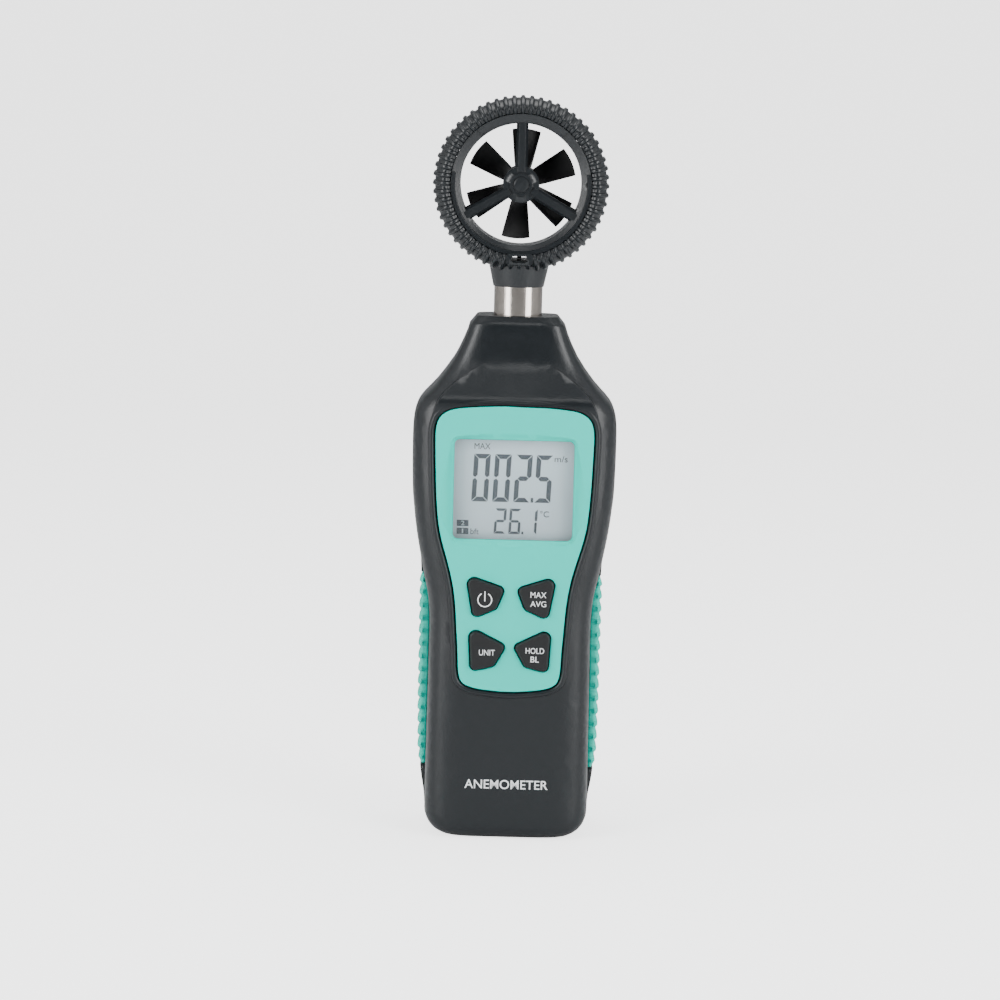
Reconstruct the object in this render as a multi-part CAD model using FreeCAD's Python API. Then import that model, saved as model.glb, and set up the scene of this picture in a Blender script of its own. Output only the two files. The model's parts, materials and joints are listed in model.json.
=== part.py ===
"""Hand-held vane anemometer, built as separate pieces in one frame.

Millimetres. +Z runs up the instrument, -Y is the display side, +X is to the right of someone reading it.
The origin is the middle of the flat foot that the case stands on, and the neck tube's axis is the Z axis.
"""
import FreeCAD
import Part

import math
import os

from FreeCAD import Vector

# Driving dimensions
CASE_TOP = 123.8          # flat top of the case, where the neck tube comes out
FRONT_DEPTH = 13.8        # case surface in front of the parting plane
REAR_DEPTH = 14.5         # case surface behind the parting plane
PLATEAU_FRONT = 14.5      # raised frame round the face panel, and the panel's own front
WALL = 2.2                # case wall
SHAPE_POWER = 5.0         # squareness of the case's cross-section
FOOT_CORNER = 6.2         # rounding of the foot, seen from the front
FOOT_ROUND = 3.4          # rounding of the foot, seen from the side
CAVITY_FLOOR = 2.2
CAVITY_TOP = 112.0        # above this the case is solid round the neck tube

PANEL_BACK = 12.2         # depth of the face panel's back, and of the case floor that carries it
FLOOR_BACK = 11.0         # depth of that floor's inner side
PANEL_GAP = 0.35          # shadow gap round the face panel
FRAME_WIDTH = 1.35        # raised frame outside the gap

WINDOW_WIDTH = 28.0
WINDOW_LOW, WINDOW_HIGH = 72.0, 95.5
WINDOW_CORNER = 1.3
LENS_FRONT = 13.2         # depth of the clear window's front
BOARD_FRONT, BOARD_BACK = 3.0, 1.4
KEY_FRONT = 15.5
KEY_GAP = 0.28
MAT_LOW, MAT_HIGH = 37.9, 65.6          # the rubber mat behind the keys

RING_Z = 154.6            # height of the vane's axis
RING_RADIUS = 20.15       # outer radius between the ribs
RIB_HEIGHT = 0.5
RIB_COUNT = 60
RING_HALF_DEPTH = 7.7
THROAT_RADIUS = 14.25
THROAT_WALL_RADIUS = 15.3
GUARD_RADIUS = 16.4
THROAT_HALF = 5.2
HUB_RADIUS = 4.26
SPOKE_WIDTH = 2.7
SPOKE_ANGLES = (90, 210, 330)
BLADE_COUNT = 6
BLADE_PHASE = 85.4        # degrees from +X to the middle of the first blade, seen from the front
BLADE_TIP = 12.9
BLADE_LEAD = 7.6          # radius times the tangent of the blade's pitch
BLADE_THICKNESS = 0.45

TUBE_RADIUS = 5.7
TUBE_BORE = 4.9
TUBE_LOW, TUBE_HIGH = 110.0, 136.5
STEM_LOW = 130.6          # bottom of the tapered stem under the ring
STEM_LOW_RADIUS = 5.95
STEM_TAPER = 0.216

CELL_RADIUS, CELL_LENGTH = 5.25, 44.5
CELL_PITCH = 10.8
CELL_DEPTH = 7.7          # distance of the cells' axes behind the parting plane
CELL_LOW = 16.0
BAY_LOW, BAY_HIGH = 13.0, 64.0
BAY_HALF = 16.5
DOOR_HALF = 15.5
DOOR_TOP = 64.0
DOOR_THICKNESS = 1.35
DOOR_INNER_EDGE = 8.6     # where the door's wrap under the foot ends
DOOR_TONGUES = (-5.4, 5.4)
GRIP_LOW, GRIP_HIGH = 15.0, 61.8
GRIP_NEAR, GRIP_FAR = -1.4, 10.6        # the grips wrap forward over the step between the case halves
GRIP_DEPTH = 1.9          # how far they are let into the rear case
GRIP_PITCH = 3.1

CASE_SCREWS = ((17.6, 101.0), (12.6, 7.2))      # half-distances and heights
BOARD_SCREWS = ((15.9, 65.0), (11.8, 24.0))

# Half-widths of the case against height. The front half has a waist, and the rear half stays wider.
UPPER_WIDTHS = ((72, 22.6), (79, 23.5), (86, 24.0), (97, 24.05), (100.8, 23.7), (103.7, 22.6), (106.5, 20.0),
                (110.4, 16.9), (114.2, 14.4), (118.0, 12.6), (121.6, 11.3), (CASE_TOP, 10.9))
WAIST_WIDTHS = ((6.0, 19.5), (30, 19.35), (50, 19.2), (56, 19.5), (60, 20.2), (64, 21.1), (68, 21.85))
FRONT_WIDTHS = WAIST_WIDTHS + UPPER_WIDTHS
REAR_WIDTHS = ((6.0, 19.6), (12, 20.4), (20, 21.1), (30, 21.3), (60, 21.4), (66, 21.7)) + UPPER_WIDTHS
FRONT_DEPTHS = ((0, FRONT_DEPTH), (97, FRONT_DEPTH), (101.5, 13.6), (104, 13.1), (107, 11.7), (110, 10.2),
                (113, 9.2), (117, 8.4), (CASE_TOP, 7.9))
REAR_DEPTHS = ((0, REAR_DEPTH), (94, REAR_DEPTH), (100, 14.0), (106, 12.5), (112, 10.6), (118, 9.0),
               (CASE_TOP, 8.2))
FRONT_HALF = (FRONT_WIDTHS, FRONT_DEPTHS, -1)
REAR_HALF = (REAR_WIDTHS, REAR_DEPTHS, 1)
SECTION_HEIGHTS = (0, 0.25, 0.7, 1.4, 2.4, 3.6, 5.0, 7.0, 12, 18, 24, 30, 38, 46, 51, 55, 59, 63, 67, 71, 76,
                   82, 90, 96, 99, 101, 103, 105, 107, 109, 111.5, 114, 117, 120, 121.7)

# Half of the face panel's outline, from the middle of its top edge round to the middle of its bottom edge.
PANEL_OUTLINE = ((0, 103.43), (6.87, 103.29), (12.56, 102.84), (15.6, 102.11), (17.47, 100.64),
                 (18.3, 98.48), (18.45, 94.75), (18.2, 86.9), (17.76, 79.54), (16.98, 73.65),
                 (15.6, 68.55), (14.13, 63.25), (13.15, 57.75), (12.56, 50.59), (12.12, 43.72),
                 (11.87, 40.18), (11.09, 38.12), (9.13, 37), (4.91, 36.26), (0, 35.97))
# Key outlines on the left of the face; the right-hand keys mirror them.
UPPER_KEY = ((-10.55, 63.64), (-1.47, 60.65), (-3.39, 55.79), (-8.68, 53.43))
LOWER_KEY = ((-9.62, 51.32), (-0.88, 47.01), (-3.68, 42.1), (-9.03, 40.77))
KEY_CORNERS = (1.5, 1.15, 1.3, 1.2)


# Small helpers
def smooth(table, x):
    """Value at x of the smooth monotone curve through a table of (x, value) pairs."""
    if x <= table[0][0]:
        return table[0][1]
    if x >= table[-1][0]:
        return table[-1][1]
    slopes = [(b[1] - a[1]) / (b[0] - a[0]) for a, b in zip(table, table[1:])]
    tangents = [0.0]
    for before, after in zip(slopes, slopes[1:]):
        same_way = before * after > 0
        tangents.append(2 * before * after / (before + after) if same_way else 0.0)
    tangents.append(slopes[-1])
    for (a, b, ta, tb) in zip(table, table[1:], tangents, tangents[1:]):
        if x <= b[0]:
            h = b[0] - a[0]
            t = (x - a[0]) / h
            return ((2 * t ** 3 - 3 * t ** 2 + 1) * a[1] + (t ** 3 - 2 * t ** 2 + t) * h * ta
                    + (3 * t ** 2 - 2 * t ** 3) * b[1] + (t ** 3 - t ** 2) * h * tb)


def foot_inset(z, radius):
    """How far a surface pulls in at height z above a foot rounded to this radius."""
    if z >= radius:
        return 0.0
    return radius * (1 - math.sqrt(1 - (1 - z / radius) ** 2))


def box(x0, x1, y0, y1, z0, z1):
    return Part.makeBox(x1 - x0, y1 - y0, z1 - z0, Vector(x0, y0, z0))


def rod(radius, start, end):
    """A cylinder from one point to another."""
    start, end = Vector(*start), Vector(*end)
    return Part.makeCylinder(radius, (end - start).Length, start, end - start)


def tube(outer, inner, start, end):
    return rod(outer, start, end).cut(rod(inner, start, end))


def closed_curve(points):
    curve = Part.BSplineCurve()
    curve.interpolate(points, PeriodicFlag=True)
    return Part.Wire(curve.toShape())


def plate(wire, near, far):
    """The solid inside an outline in the XZ plane, between two depths in front of the parting plane."""
    face = Part.Face(wire)
    face.translate(Vector(0, -far, 0))
    return face.extrude(Vector(0, far - near, 0))


def rounded_polygon(corners, radii, grow=0.0):
    """A wire in the XZ plane through (x, z) corners, each rounded, and grown outwards by grow."""
    points = [Vector(x, 0, z) for x, z in corners]
    edges, joints = [], []
    befores, afters = points[-1:] + points[:-1], points[1:] + points[:1]
    for before, here, after, radius in zip(befores, points, afters, radii):
        to_before, to_after = (before - here).normalize(), (after - here).normalize()
        half = to_before.getAngle(to_after) / 2
        bisector = (to_before + to_after).normalize()
        reach = radius / math.tan(half)
        centre = here + bisector * (radius / math.sin(half))
        joints.append((here + to_before * reach, centre - bisector * radius, here + to_after * reach))
    for joint, following in zip(joints, joints[1:] + joints[:1]):
        edges.append(Part.Arc(*joint).toShape())
        edges.append(Part.LineSegment(joint[2], following[0]).toShape())
    wire = Part.Wire(edges)
    return wire.makeOffset2D(grow) if grow else wire


def rectangle(half_width, low, high, corner, grow=0.0):
    x = half_width
    return rounded_polygon(((-x, high), (x, high), (x, low), (-x, low)), (corner,) * 4, grow)


def loft(sections, ruled=False):
    """A solid through the sections, with its faces pointing outwards whichever way round they run."""
    solid = Part.makeLoft(sections, True, ruled)
    if solid.Volume < 0:
        solid.reverse()
    return solid


def mirrored(shape):
    return shape.mirror(Vector(0, 0, 0), Vector(1, 0, 0))


def fuse(first, *others):
    return first.multiFuse([o for o in others]) if others else first


def about_vane(shape, degrees):
    """A copy of shape turned about the vane's axis, anticlockwise as seen from the front."""
    turned = shape.copy()
    turned.rotate(Vector(0, 0, RING_Z), Vector(0, -1, 0), degrees)
    return turned


def vane_revolve(profile, degrees=360.0, start=0.0):
    """Sweeps a profile of (radius, depth in front of the ring's middle) points round the vane's axis."""
    points = [Vector(r, -d, RING_Z) for r, d in profile]
    face = Part.Face(Part.makePolygon(points + points[:1]))
    return about_vane(face.revolve(Vector(0, 0, RING_Z), Vector(0, -1, 0), degrees), start)


def vane_disc(radius, near, far, inner=0.0):
    """A disc or ring on the vane's axis between two depths in front of the ring's middle."""
    low, high = (0, -far, RING_Z), (0, -near, RING_Z)
    return tube(radius, inner, low, high) if inner else rod(radius, low, high)


def to_back(shape):
    """Mirrors a front piece of the vane ring to the back."""
    return shape.mirror(Vector(0, 0, 0), Vector(0, 1, 0))


def biggest(shape):
    return max(shape.Solids, key=lambda s: s.Volume)


# Case forms
def rounded_square(across, deep, z):
    """Half of a rounded-square outline from +X round to -X, with its points crowded at the corners."""
    quarter = (0, 9, 20, 30, 36, 41, 45, 49, 54, 61, 72)
    points = []
    for angle in quarter + (90,) + tuple(180 - a for a in reversed(quarter)):
        c, s = math.cos(math.radians(angle)), math.sin(math.radians(angle))
        reach = (abs(c) ** SHAPE_POWER + s ** SHAPE_POWER) ** (-1 / SHAPE_POWER)
        points.append(Vector(reach * c * across, reach * s * deep, z))
    return points


def spacing(points):
    """Curve parameters in step with the distance along a run of points."""
    total = [0.0]
    for here, after in zip(points, points[1:]):
        total.append(total[-1] + (after - here).Length)
    return total


SECTION_SPACING = spacing(rounded_square(21.0, 14.0, 0))


def half_section(z, half, inset, overrun):
    """One case half's outline at height z: a rounded curve, closed straight across the parting plane."""
    widths, depths, sign = half
    across = smooth(widths, z) - foot_inset(z, FOOT_CORNER) - inset
    deep = smooth(depths, z) - foot_inset(z, FOOT_ROUND) - inset
    points = rounded_square(across, sign * deep, z)
    curve = Part.BSplineCurve()
    curve.interpolate(Points=points, Parameters=SECTION_SPACING)
    corners = [points[-1], points[0]]
    if overrun:
        beyond = Vector(0, -sign * overrun, 0)
        corners = [points[-1], points[-1] + beyond, points[0] + beyond, points[0]]
    return Part.Wire([curve.toShape()] + Part.makePolygon(corners).Edges)


def case_form(half, inset=0.0, low=0.0, high=None, overrun=0.0):
    """The solid inside one half's outer surface, pulled in by inset, between two heights."""
    heights = [z for z in SECTION_HEIGHTS if z > low + 0.2 and (high is None or z < high - 0.5)]
    sections = [half_section(z, half, inset, overrun) for z in [low] + heights + ([high] if high else [])]
    body = loft(sections)
    if high:
        return body
    top = SECTION_HEIGHTS[-1]
    chamfered = [half_section(top, half, inset, overrun), half_section(CASE_TOP, half, inset + 1.3, overrun)]
    return body.fuse(loft(chamfered, True))


def panel_wire(grow=0.0):
    """The face panel's outline in the XZ plane, grown outwards by grow."""
    half = [Vector(x, 0, z) for x, z in PANEL_OUTLINE]
    points = half + [Vector(-p.x, 0, p.z) for p in half[-2:0:-1]]
    if not grow:
        return closed_curve(points)
    moved = []
    for before, here, after in zip(points[-1:] + points[:-1], points, points[1:] + points[:1]):
        along = ((here - before).normalize() + (after - here).normalize()).normalize()
        moved.append(here + Vector(-along.z, 0, along.x) * grow)
    return closed_curve(moved)


def plateau():
    """The raised frame round the panel. Above the panel it slopes back and sinks into the shoulders."""
    outline = plate(panel_wire(PANEL_GAP + FRAME_WIDTH), 2.0, 20.0)
    half = ((6.0, 113.6), (12.4, 109.9), (17.4, 105.4), (19.4, 100.7))
    crown = [Vector(-x, 0, z) for x, z in reversed(half)] + [Vector(0, 0, 114.7)]
    crown += [Vector(x, 0, z) for x, z in half]
    curve = Part.BSplineCurve()
    curve.interpolate(crown)
    closing = Part.makePolygon([crown[-1], Vector(12, 0, 80), Vector(-12, 0, 80), crown[0]])
    outline = outline.fuse(plate(Part.Wire([curve.toShape()] + closing.Edges), 2.0, 20.0))
    side = Part.BSplineCurve()
    slope = ((PLATEAU_FRONT, 103.9), (14.35, 104.7), (13.75, 105.9), (12.4, 107.9), (10.6, 110.5),
             (9.0, 113.3), (7.6, 116.0))
    side.interpolate([Vector(0, -d, z) for d, z in slope])
    top = slope[-1]
    rest = Part.makePolygon([Vector(0, -top[0], top[1]), Vector(0, -2, top[1]), Vector(0, -2, 25),
                             Vector(0, -PLATEAU_FRONT, 25), Vector(0, -PLATEAU_FRONT, slope[0][1])])
    face = Part.Face(Part.Wire([side.toShape()] + rest.Edges))
    face.translate(Vector(-25, 0, 0))
    return outline.common(face.extrude(Vector(50, 0, 0)))


# Case and face
def key_wires(grow=0.0):
    upper = rounded_polygon(UPPER_KEY, KEY_CORNERS, grow)
    lower = rounded_polygon(LOWER_KEY, KEY_CORNERS, grow)
    return {"power_key": upper, "max_avg_key": mirrored(upper), "unit_key": lower,
            "hold_key": mirrored(lower)}


def both_sides(pairs):
    return [(sign * x, z) for x, z in pairs for sign in (-1, 1)]


def neck_cut():
    """Room for the neck tube and its friction ring through the top of the case."""
    bore = rod(TUBE_RADIUS + 0.1, (0, 0, CAVITY_TOP - 1), (0, 0, CASE_TOP + 1))
    return bore.fuse(rod(7.5, (0, 0, 117.0), (0, 0, 118.9)))


def parting_groove(half):
    """One side of the shallow slot that marks the joint between the case halves."""
    layer = box(-30, 30, -0.16, 0.16, 8, 120)
    return layer.cut(case_form(half, 0.35, 0.35, CASE_TOP - 2.6, 1.0))


def front_case(form):
    solid = form.fuse(plateau())
    solid = solid.cut(case_form(FRONT_HALF, WALL, CAVITY_FLOOR, CAVITY_TOP, 1.0))
    floor = plate(panel_wire(-0.3), FLOOR_BACK - 2.2, PANEL_BACK + 0.7)
    solid = solid.fuse(floor)
    inside = box(-30, 30, -20, 0, CAVITY_FLOOR, CAVITY_TOP)
    bosses = []
    for x, z in both_sides(CASE_SCREWS):
        bosses.append(rod(2.6, (x, -13.2, z), (x, 0, z)).common(form).common(inside))
    for x, z in both_sides(BOARD_SCREWS):
        bosses.append(rod(2.2, (x, -13.2, z), (x, -BOARD_FRONT - 0.02, z)).common(form))
    solid = fuse(solid, *bosses)
    cuts = [rod(1.1, (x, -8.0, z), (x, 1, z)) for x, z in both_sides(CASE_SCREWS)]
    cuts += [rod(0.85, (x, -8.5, z), (x, 0, z)) for x, z in both_sides(BOARD_SCREWS)]
    cuts.append(plate(panel_wire(PANEL_GAP), PANEL_BACK, 20))
    cuts.append(plate(rectangle(WINDOW_WIDTH / 2 + 0.4, WINDOW_LOW - 0.4, WINDOW_HIGH + 0.4, 1.5), 2, 13))
    cuts.append(box(-17.2, 17.2, -FLOOR_BACK, -2, WINDOW_LOW - 3.7, WINDOW_HIGH + 3.1))
    cuts.append(box(-12.7, 12.7, -FLOOR_BACK, -2, MAT_LOW - 0.4, MAT_HIGH + 0.4))
    cuts += [plate(w, 2, 13) for w in key_wires(KEY_GAP).values()]
    cuts += [neck_cut(), parting_groove(FRONT_HALF)]
    stops = [box(x - 1.0, x + 1.0, -2.9, -1.45, 110.0, CAVITY_TOP + 0.5) for x in (-8.4, 8.4)]
    return biggest(fuse(solid.cut(cuts), *stops))


def face_panel():
    solid = plate(panel_wire(), PANEL_BACK, PLATEAU_FRONT)
    aperture = rectangle(WINDOW_WIDTH / 2, WINDOW_LOW, WINDOW_HIGH, WINDOW_CORNER)
    solid = solid.cut(plate(aperture, 5, 20))
    seat = rectangle(WINDOW_WIDTH / 2 + 1.4, WINDOW_LOW - 1.3, WINDOW_HIGH + 1.3, 1.9)
    solid = solid.cut(plate(seat, 5, LENS_FRONT))
    half, top, low = WINDOW_WIDTH / 2, WINDOW_HIGH, WINDOW_LOW

    def bezel(out, arch, depth):
        """The window's outline pushed out, with its top and bottom edges arched, at a depth."""
        y = -depth
        corner = 1.0 + out
        x0, z0, z1 = half + out, low - out, top + out
        arcs = [Part.Arc(Vector(-x0 + corner, y, z1), Vector(0, y, z1 + arch), Vector(x0 - corner, y, z1)),
                Part.Arc(Vector(x0 - corner, y, z1), Vector(x0 - 0.3 * corner, y, z1 - 0.3 * corner),
                         Vector(x0, y, z1 - corner)),
                Part.LineSegment(Vector(x0, y, z1 - corner), Vector(x0, y, z0 + corner)),
                Part.Arc(Vector(x0, y, z0 + corner), Vector(x0 - 0.3 * corner, y, z0 + 0.3 * corner),
                         Vector(x0 - corner, y, z0)),
                Part.Arc(Vector(x0 - corner, y, z0), Vector(0, y, z0 - arch), Vector(-x0 + corner, y, z0)),
                Part.Arc(Vector(-x0 + corner, y, z0), Vector(-x0 + 0.3 * corner, y, z0 + 0.3 * corner),
                         Vector(-x0, y, z0 + corner)),
                Part.LineSegment(Vector(-x0, y, z0 + corner), Vector(-x0, y, z1 - corner)),
                Part.Arc(Vector(-x0, y, z1 - corner), Vector(-x0 + 0.3 * corner, y, z1 - 0.3 * corner),
                         Vector(-x0 + corner, y, z1))]
        return Part.Wire([a.toShape() for a in arcs])

    slope = loft([bezel(0.12, 0.05, LENS_FRONT + 0.15), bezel(0.75, 1.15, PLATEAU_FRONT),
                  bezel(0.9, 1.4, PLATEAU_FRONT + 0.3)], True)
    solid = solid.cut(slope)
    return biggest(solid.cut([plate(wire, 5, 20) for wire in key_wires(KEY_GAP).values()]))


def key(wire):
    """A soft key: its cap, the flange that holds it behind the case floor, and its stem."""
    cap = plate(wire, FLOOR_BACK - 0.2, KEY_FRONT)
    rim = [e for e in cap.Edges if all(abs(v.Point.y + KEY_FRONT) < 1e-6 for v in e.Vertexes)]
    cap = cap.makeFillet(0.55, rim)
    flange = plate(wire.makeOffset2D(0.75), FLOOR_BACK - 1.1, FLOOR_BACK - 0.1)
    centre = Part.Face(wire).CenterOfMass
    stem = rod(3.4, (centre.x, -FLOOR_BACK + 1.2, centre.z), (centre.x, -6.6, centre.z))
    return biggest(fuse(cap, flange, stem)), centre


def keypad_mat(centres):
    mat = plate(rectangle(12.3, MAT_LOW, MAT_HIGH, 1.5), BOARD_FRONT + 0.05, 4.0)
    for c in centres:
        mat = mat.fuse(rod(3.3, (c.x, -5.45, c.z), (c.x, -3.9, c.z)))
    for c in centres:
        mat = mat.cut(rod(2.3, (c.x, -8, c.z), (c.x, 0, c.z)))
    return mat


def bay_block(form):
    """The cells' tray, the foot under it and the screw pillars, inside the rear case."""
    behind = box(-30, 30, 0, 20, 0, CASE_TOP)
    tray = box(-BAY_HALF - 1.2, BAY_HALF + 1.2, 1.4, 20, BAY_LOW - 1.2, BAY_HIGH + 1.2)
    foot = box(-17.5, 17.5, 1.4, 20, CAVITY_FLOOR - 0.5, BAY_LOW)
    pillars = [rod(3.1, (x, 0, z), (x, 20, z)) for x, z in both_sides(CASE_SCREWS)]
    return fuse(tray, foot, *pillars).common(form).common(behind)


def door_zone(grow=0.0):
    """The region of the rear case's skin that the battery door takes over."""
    back = box(-DOOR_HALF - grow, DOOR_HALF + grow, DOOR_INNER_EDGE - grow, 20, -1, DOOR_TOP + grow)
    core = case_form(REAR_HALF, DOOR_THICKNESS + grow * 0.5, DOOR_THICKNESS + grow * 0.5, CASE_TOP - 3)
    return back.cut(core)


def grip_zone(inset, grow, sign):
    """One side's grip region: outside the case, and through the rear case's skin down to inset."""
    y0, y1, z0, z1 = GRIP_NEAR - grow, GRIP_FAR + grow, GRIP_LOW - grow, GRIP_HIGH + grow
    corner = 1.3 + grow
    outline = rounded_polygon(((y0, z1), (y1, z1), (y1, z0), (y0, z0)), (corner,) * 4)
    outline.rotate(Vector(0, 0, 0), Vector(0, 0, 1), 90)
    solid = Part.Face(outline).extrude(Vector(30 * sign, 0, 0))
    return solid.cut([case_form(REAR_HALF, inset, 8.0, 70.0), case_form(FRONT_HALF, -0.06, 8.0, 70.0)])


def rear_case(form):
    solid = form.cut(case_form(REAR_HALF, WALL, CAVITY_FLOOR, CAVITY_TOP, 1.0))
    lining = box(-30, 30, 0, GRIP_FAR + 1.5, GRIP_LOW - 1.5, GRIP_HIGH + 1.5).common(form)
    lining = lining.cut(case_form(REAR_HALF, GRIP_DEPTH + 1.3, 8.0, 70.0, 1.0))
    solid = fuse(solid, bay_block(form), lining)
    cuts = [box(-BAY_HALF, BAY_HALF, 2.4, 20, BAY_LOW, BAY_HIGH), door_zone(0.15)]
    cuts += [grip_zone(GRIP_DEPTH + 0.05, 0.08, sign) for sign in (-1, 1)]
    for x, z in both_sides(CASE_SCREWS):
        cuts.append(rod(1.2, (x, -1, z), (x, 20, z)))
        cuts.append(rod(2.25, (x, 4.0, z), (x, 20, z)))
    cuts += [box(x - 1.35, x + 1.35, REAR_DEPTH - 3.3, REAR_DEPTH - 1.55, DOOR_TOP - 1, DOOR_TOP + 2.4)
             for x in DOOR_TONGUES]
    cuts += [neck_cut(), parting_groove(REAR_HALF)]
    return biggest(solid.cut(cuts))


def battery_door(form):
    tongues = []
    for x in DOOR_TONGUES:
        for skin, reach in ((1.7, 2.0), (0.7, -0.4)):
            tongues.append(box(x - 1.2, x + 1.2, REAR_DEPTH - 3.0, REAR_DEPTH - skin, DOOR_TOP - 3.0,
                               DOOR_TOP + reach))
    solid = fuse(biggest(form.common(door_zone())), *tongues)
    grooves = []
    for i in range(5):
        half, y, z = 7 - 0.8 * i, REAR_DEPTH + 0.15, 52 + 1.9 * i
        grooves.append(rod(0.5, (-half, y, z), (half, y, z)))
    return biggest(solid.cut(grooves))


def grip(sign):
    """A soft side grip: a base let into the rear case and lapping its front step, crossed by raised ribs."""
    zone = grip_zone(GRIP_DEPTH, 0.0, sign)
    base = zone.common(case_form(REAR_HALF, -0.12, 8.0, 70.0, -GRIP_NEAR - 0.4))
    swollen = zone.common(case_form(REAR_HALF, -0.5, 8.0, 70.0, -GRIP_NEAR))
    count = int((GRIP_HIGH - GRIP_LOW - 4.0) / GRIP_PITCH) + 1
    first = (GRIP_LOW + GRIP_HIGH - (count - 1) * GRIP_PITCH) / 2
    middles = [first + i * GRIP_PITCH for i in range(count)]
    bands = [box(-30, 30, GRIP_NEAR - 1, GRIP_FAR - 0.7, z - 0.75, z + 0.75) for z in middles]
    return biggest(fuse(base, swollen.common(Part.makeCompound(bands))))


# Inside the case
def main_board():
    right = ((13.6, 107.5), (13.6, 97.0), (18.0, 93.0), (18.0, 62.0), (14.2, 56.5), (14.2, 14.5))
    outline = right + tuple((-x, z) for x, z in reversed(right))
    board = plate(rounded_polygon(outline, (1.2,) * len(outline)), BOARD_BACK, BOARD_FRONT)
    for x, z in both_sides(BOARD_SCREWS):
        board = board.cut(rod(1.1, (x, -5, z), (x, 0, z)))
    return board


def lcd_parts():
    """The clear window, and the display glass, light guide, holder and contact strips behind it."""
    low, high, half = WINDOW_LOW, WINDOW_HIGH, WINDOW_WIDTH / 2
    glass = plate(rectangle(half + 2.0, low - 2.6, high + 2.2, 0.3), 8.5, FLOOR_BACK - 0.1)
    guide = plate(rectangle(half + 0.6, low + 0.4, high - 0.4, 0.6), 5.2, 8.4)
    holder = plate(rectangle(half + 2.8, low - 3.3, high + 2.7, 0.8), BOARD_FRONT + 0.05, 8.45)
    holder = holder.cut(plate(rectangle(half + 0.7, low + 0.3, high - 0.3, 0.6), 4.6, 9))
    strips = []
    for bottom in (low - 2.2, high + 0.4):
        holder = holder.cut(box(-14.6, 14.6, -9, -2, bottom, bottom + 1.7))
        strips.append(box(-14.5, 14.5, -8.49, -BOARD_FRONT - 0.01, bottom + 0.05, bottom + 1.65))
    lens = plate(rectangle(half + 1.3, low - 1.2, high + 1.2, 1.8), PANEL_BACK + 0.02, LENS_FRONT - 0.02)
    return {"lcd_glass": glass, "light_guide": guide, "lcd_holder": holder,
            "contact_strips": Part.makeCompound(strips), "display_window": lens}


def screw(x, z, head_y, length, shank, head, head_height):
    """A pan-head screw driven forwards from the back, with a cross recess."""
    body = rod(shank, (x, head_y + 0.1, z), (x, head_y - length, z))
    cap = rod(head, (x, head_y, z), (x, head_y + head_height, z))
    top = head_y + head_height
    rim = [e for e in cap.Edges if abs(e.CenterOfMass.y - top) < 1e-6 and len(e.Vertexes) == 1]
    cap = cap.makeFillet(head_height * 0.45, rim)
    arm, deep = head * 0.55, head_height * 0.6
    for w, h in ((arm, 0.22), (0.22, arm)):
        cap = cap.cut(box(x - w, x + w, top - deep, top + 1, z - h, z + h))
    return biggest(cap.fuse(body))


def screws():
    case = [screw(x, z, 4.02, 9.5, 1.05, 2.0, 1.5) for x, z in both_sides(CASE_SCREWS)]
    board = [screw(x, z, -BOARD_BACK + 0.01, 5.5, 0.8, 1.7, 1.1) for x, z in both_sides(BOARD_SCREWS)]
    return Part.makeCompound(case), Part.makeCompound(board)


def cell_x(index):
    return (index - 1) * CELL_PITCH


def cell(index):
    """A dry cell with its raised positive cap. The middle cell points the other way."""
    x, y = cell_x(index), CELL_DEPTH
    can = rod(CELL_RADIUS, (x, y, CELL_LOW), (x, y, CELL_LOW + CELL_LENGTH - 1.0))
    rims = [e for e in can.Edges if len(e.Vertexes) == 1]
    can = can.makeFillet(0.5, rims)
    cap = rod(1.9, (x, y, CELL_LOW + CELL_LENGTH - 1.2), (x, y, CELL_LOW + CELL_LENGTH))
    whole = can.fuse(cap)
    if index == 1:
        middle = Vector(x, y, CELL_LOW + CELL_LENGTH / 2)
        whole.rotate(middle, Vector(0, 1, 0), 180)
    return biggest(whole)


def coil(x, low, high, turns=3.0):
    """A conical battery spring wound round a vertical line, wide end first."""
    wire = 0.3
    helix = Part.makeHelix((high - low) / turns, high - low, 3.4, -20.0)
    start = Vector(3.4, 0, 0)
    ring = Part.Wire(Part.makeCircle(wire, start, Vector(0, 1, 0.12)))
    spring = Part.Wire(helix.Edges).makePipeShell([ring], True, True)
    spring.translate(Vector(x, CELL_DEPTH, low))
    return spring


def battery_contacts():
    """Plates at both ends of the bay, and springs at the negative ends."""
    top, bottom = BAY_HIGH - 0.05, BAY_LOW + 0.05
    spans = ((-15.6, 4.6, top - 0.35), (6.0, 15.6, top - 0.35), (-15.6, -6.0, bottom), (-4.6, 15.6, bottom))
    plates = [box(x0, x1, 3.2, 11.2, z, z + 0.35) for x0, x1, z in spans]
    springs = []
    for index in range(3):
        x = cell_x(index)
        if index == 1:
            spring = coil(x, 0, top - 0.7 - (CELL_LOW + CELL_LENGTH) - 0.35)
            middle = Vector(x, CELL_DEPTH, 0)
            spring.rotate(middle, Vector(0, 1, 0), 180)
            spring.translate(Vector(0, 0, top - 0.66))
        else:
            spring = coil(x, bottom + 0.66, CELL_LOW - 0.35)
        springs.append(spring)
    return Part.makeCompound(plates), Part.makeCompound(springs)


def neck_parts():
    pipe = tube(TUBE_RADIUS, TUBE_BORE, (0, 0, TUBE_LOW), (0, 0, TUBE_HIGH))
    clip = tube(7.2, TUBE_RADIUS, (0, 0, 110.2), (0, 0, 111.7))
    lug = box(-1.4, 1.4, 6.9, 8.4, 110.2, 111.7)
    seal = Part.makeTorus(6.6, 0.84, Vector(0, 0, 117.95))
    return pipe, clip.fuse(lug), seal


# Vane head
def stem_radius(z):
    return STEM_LOW_RADIUS + STEM_TAPER * (z - STEM_LOW)


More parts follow.
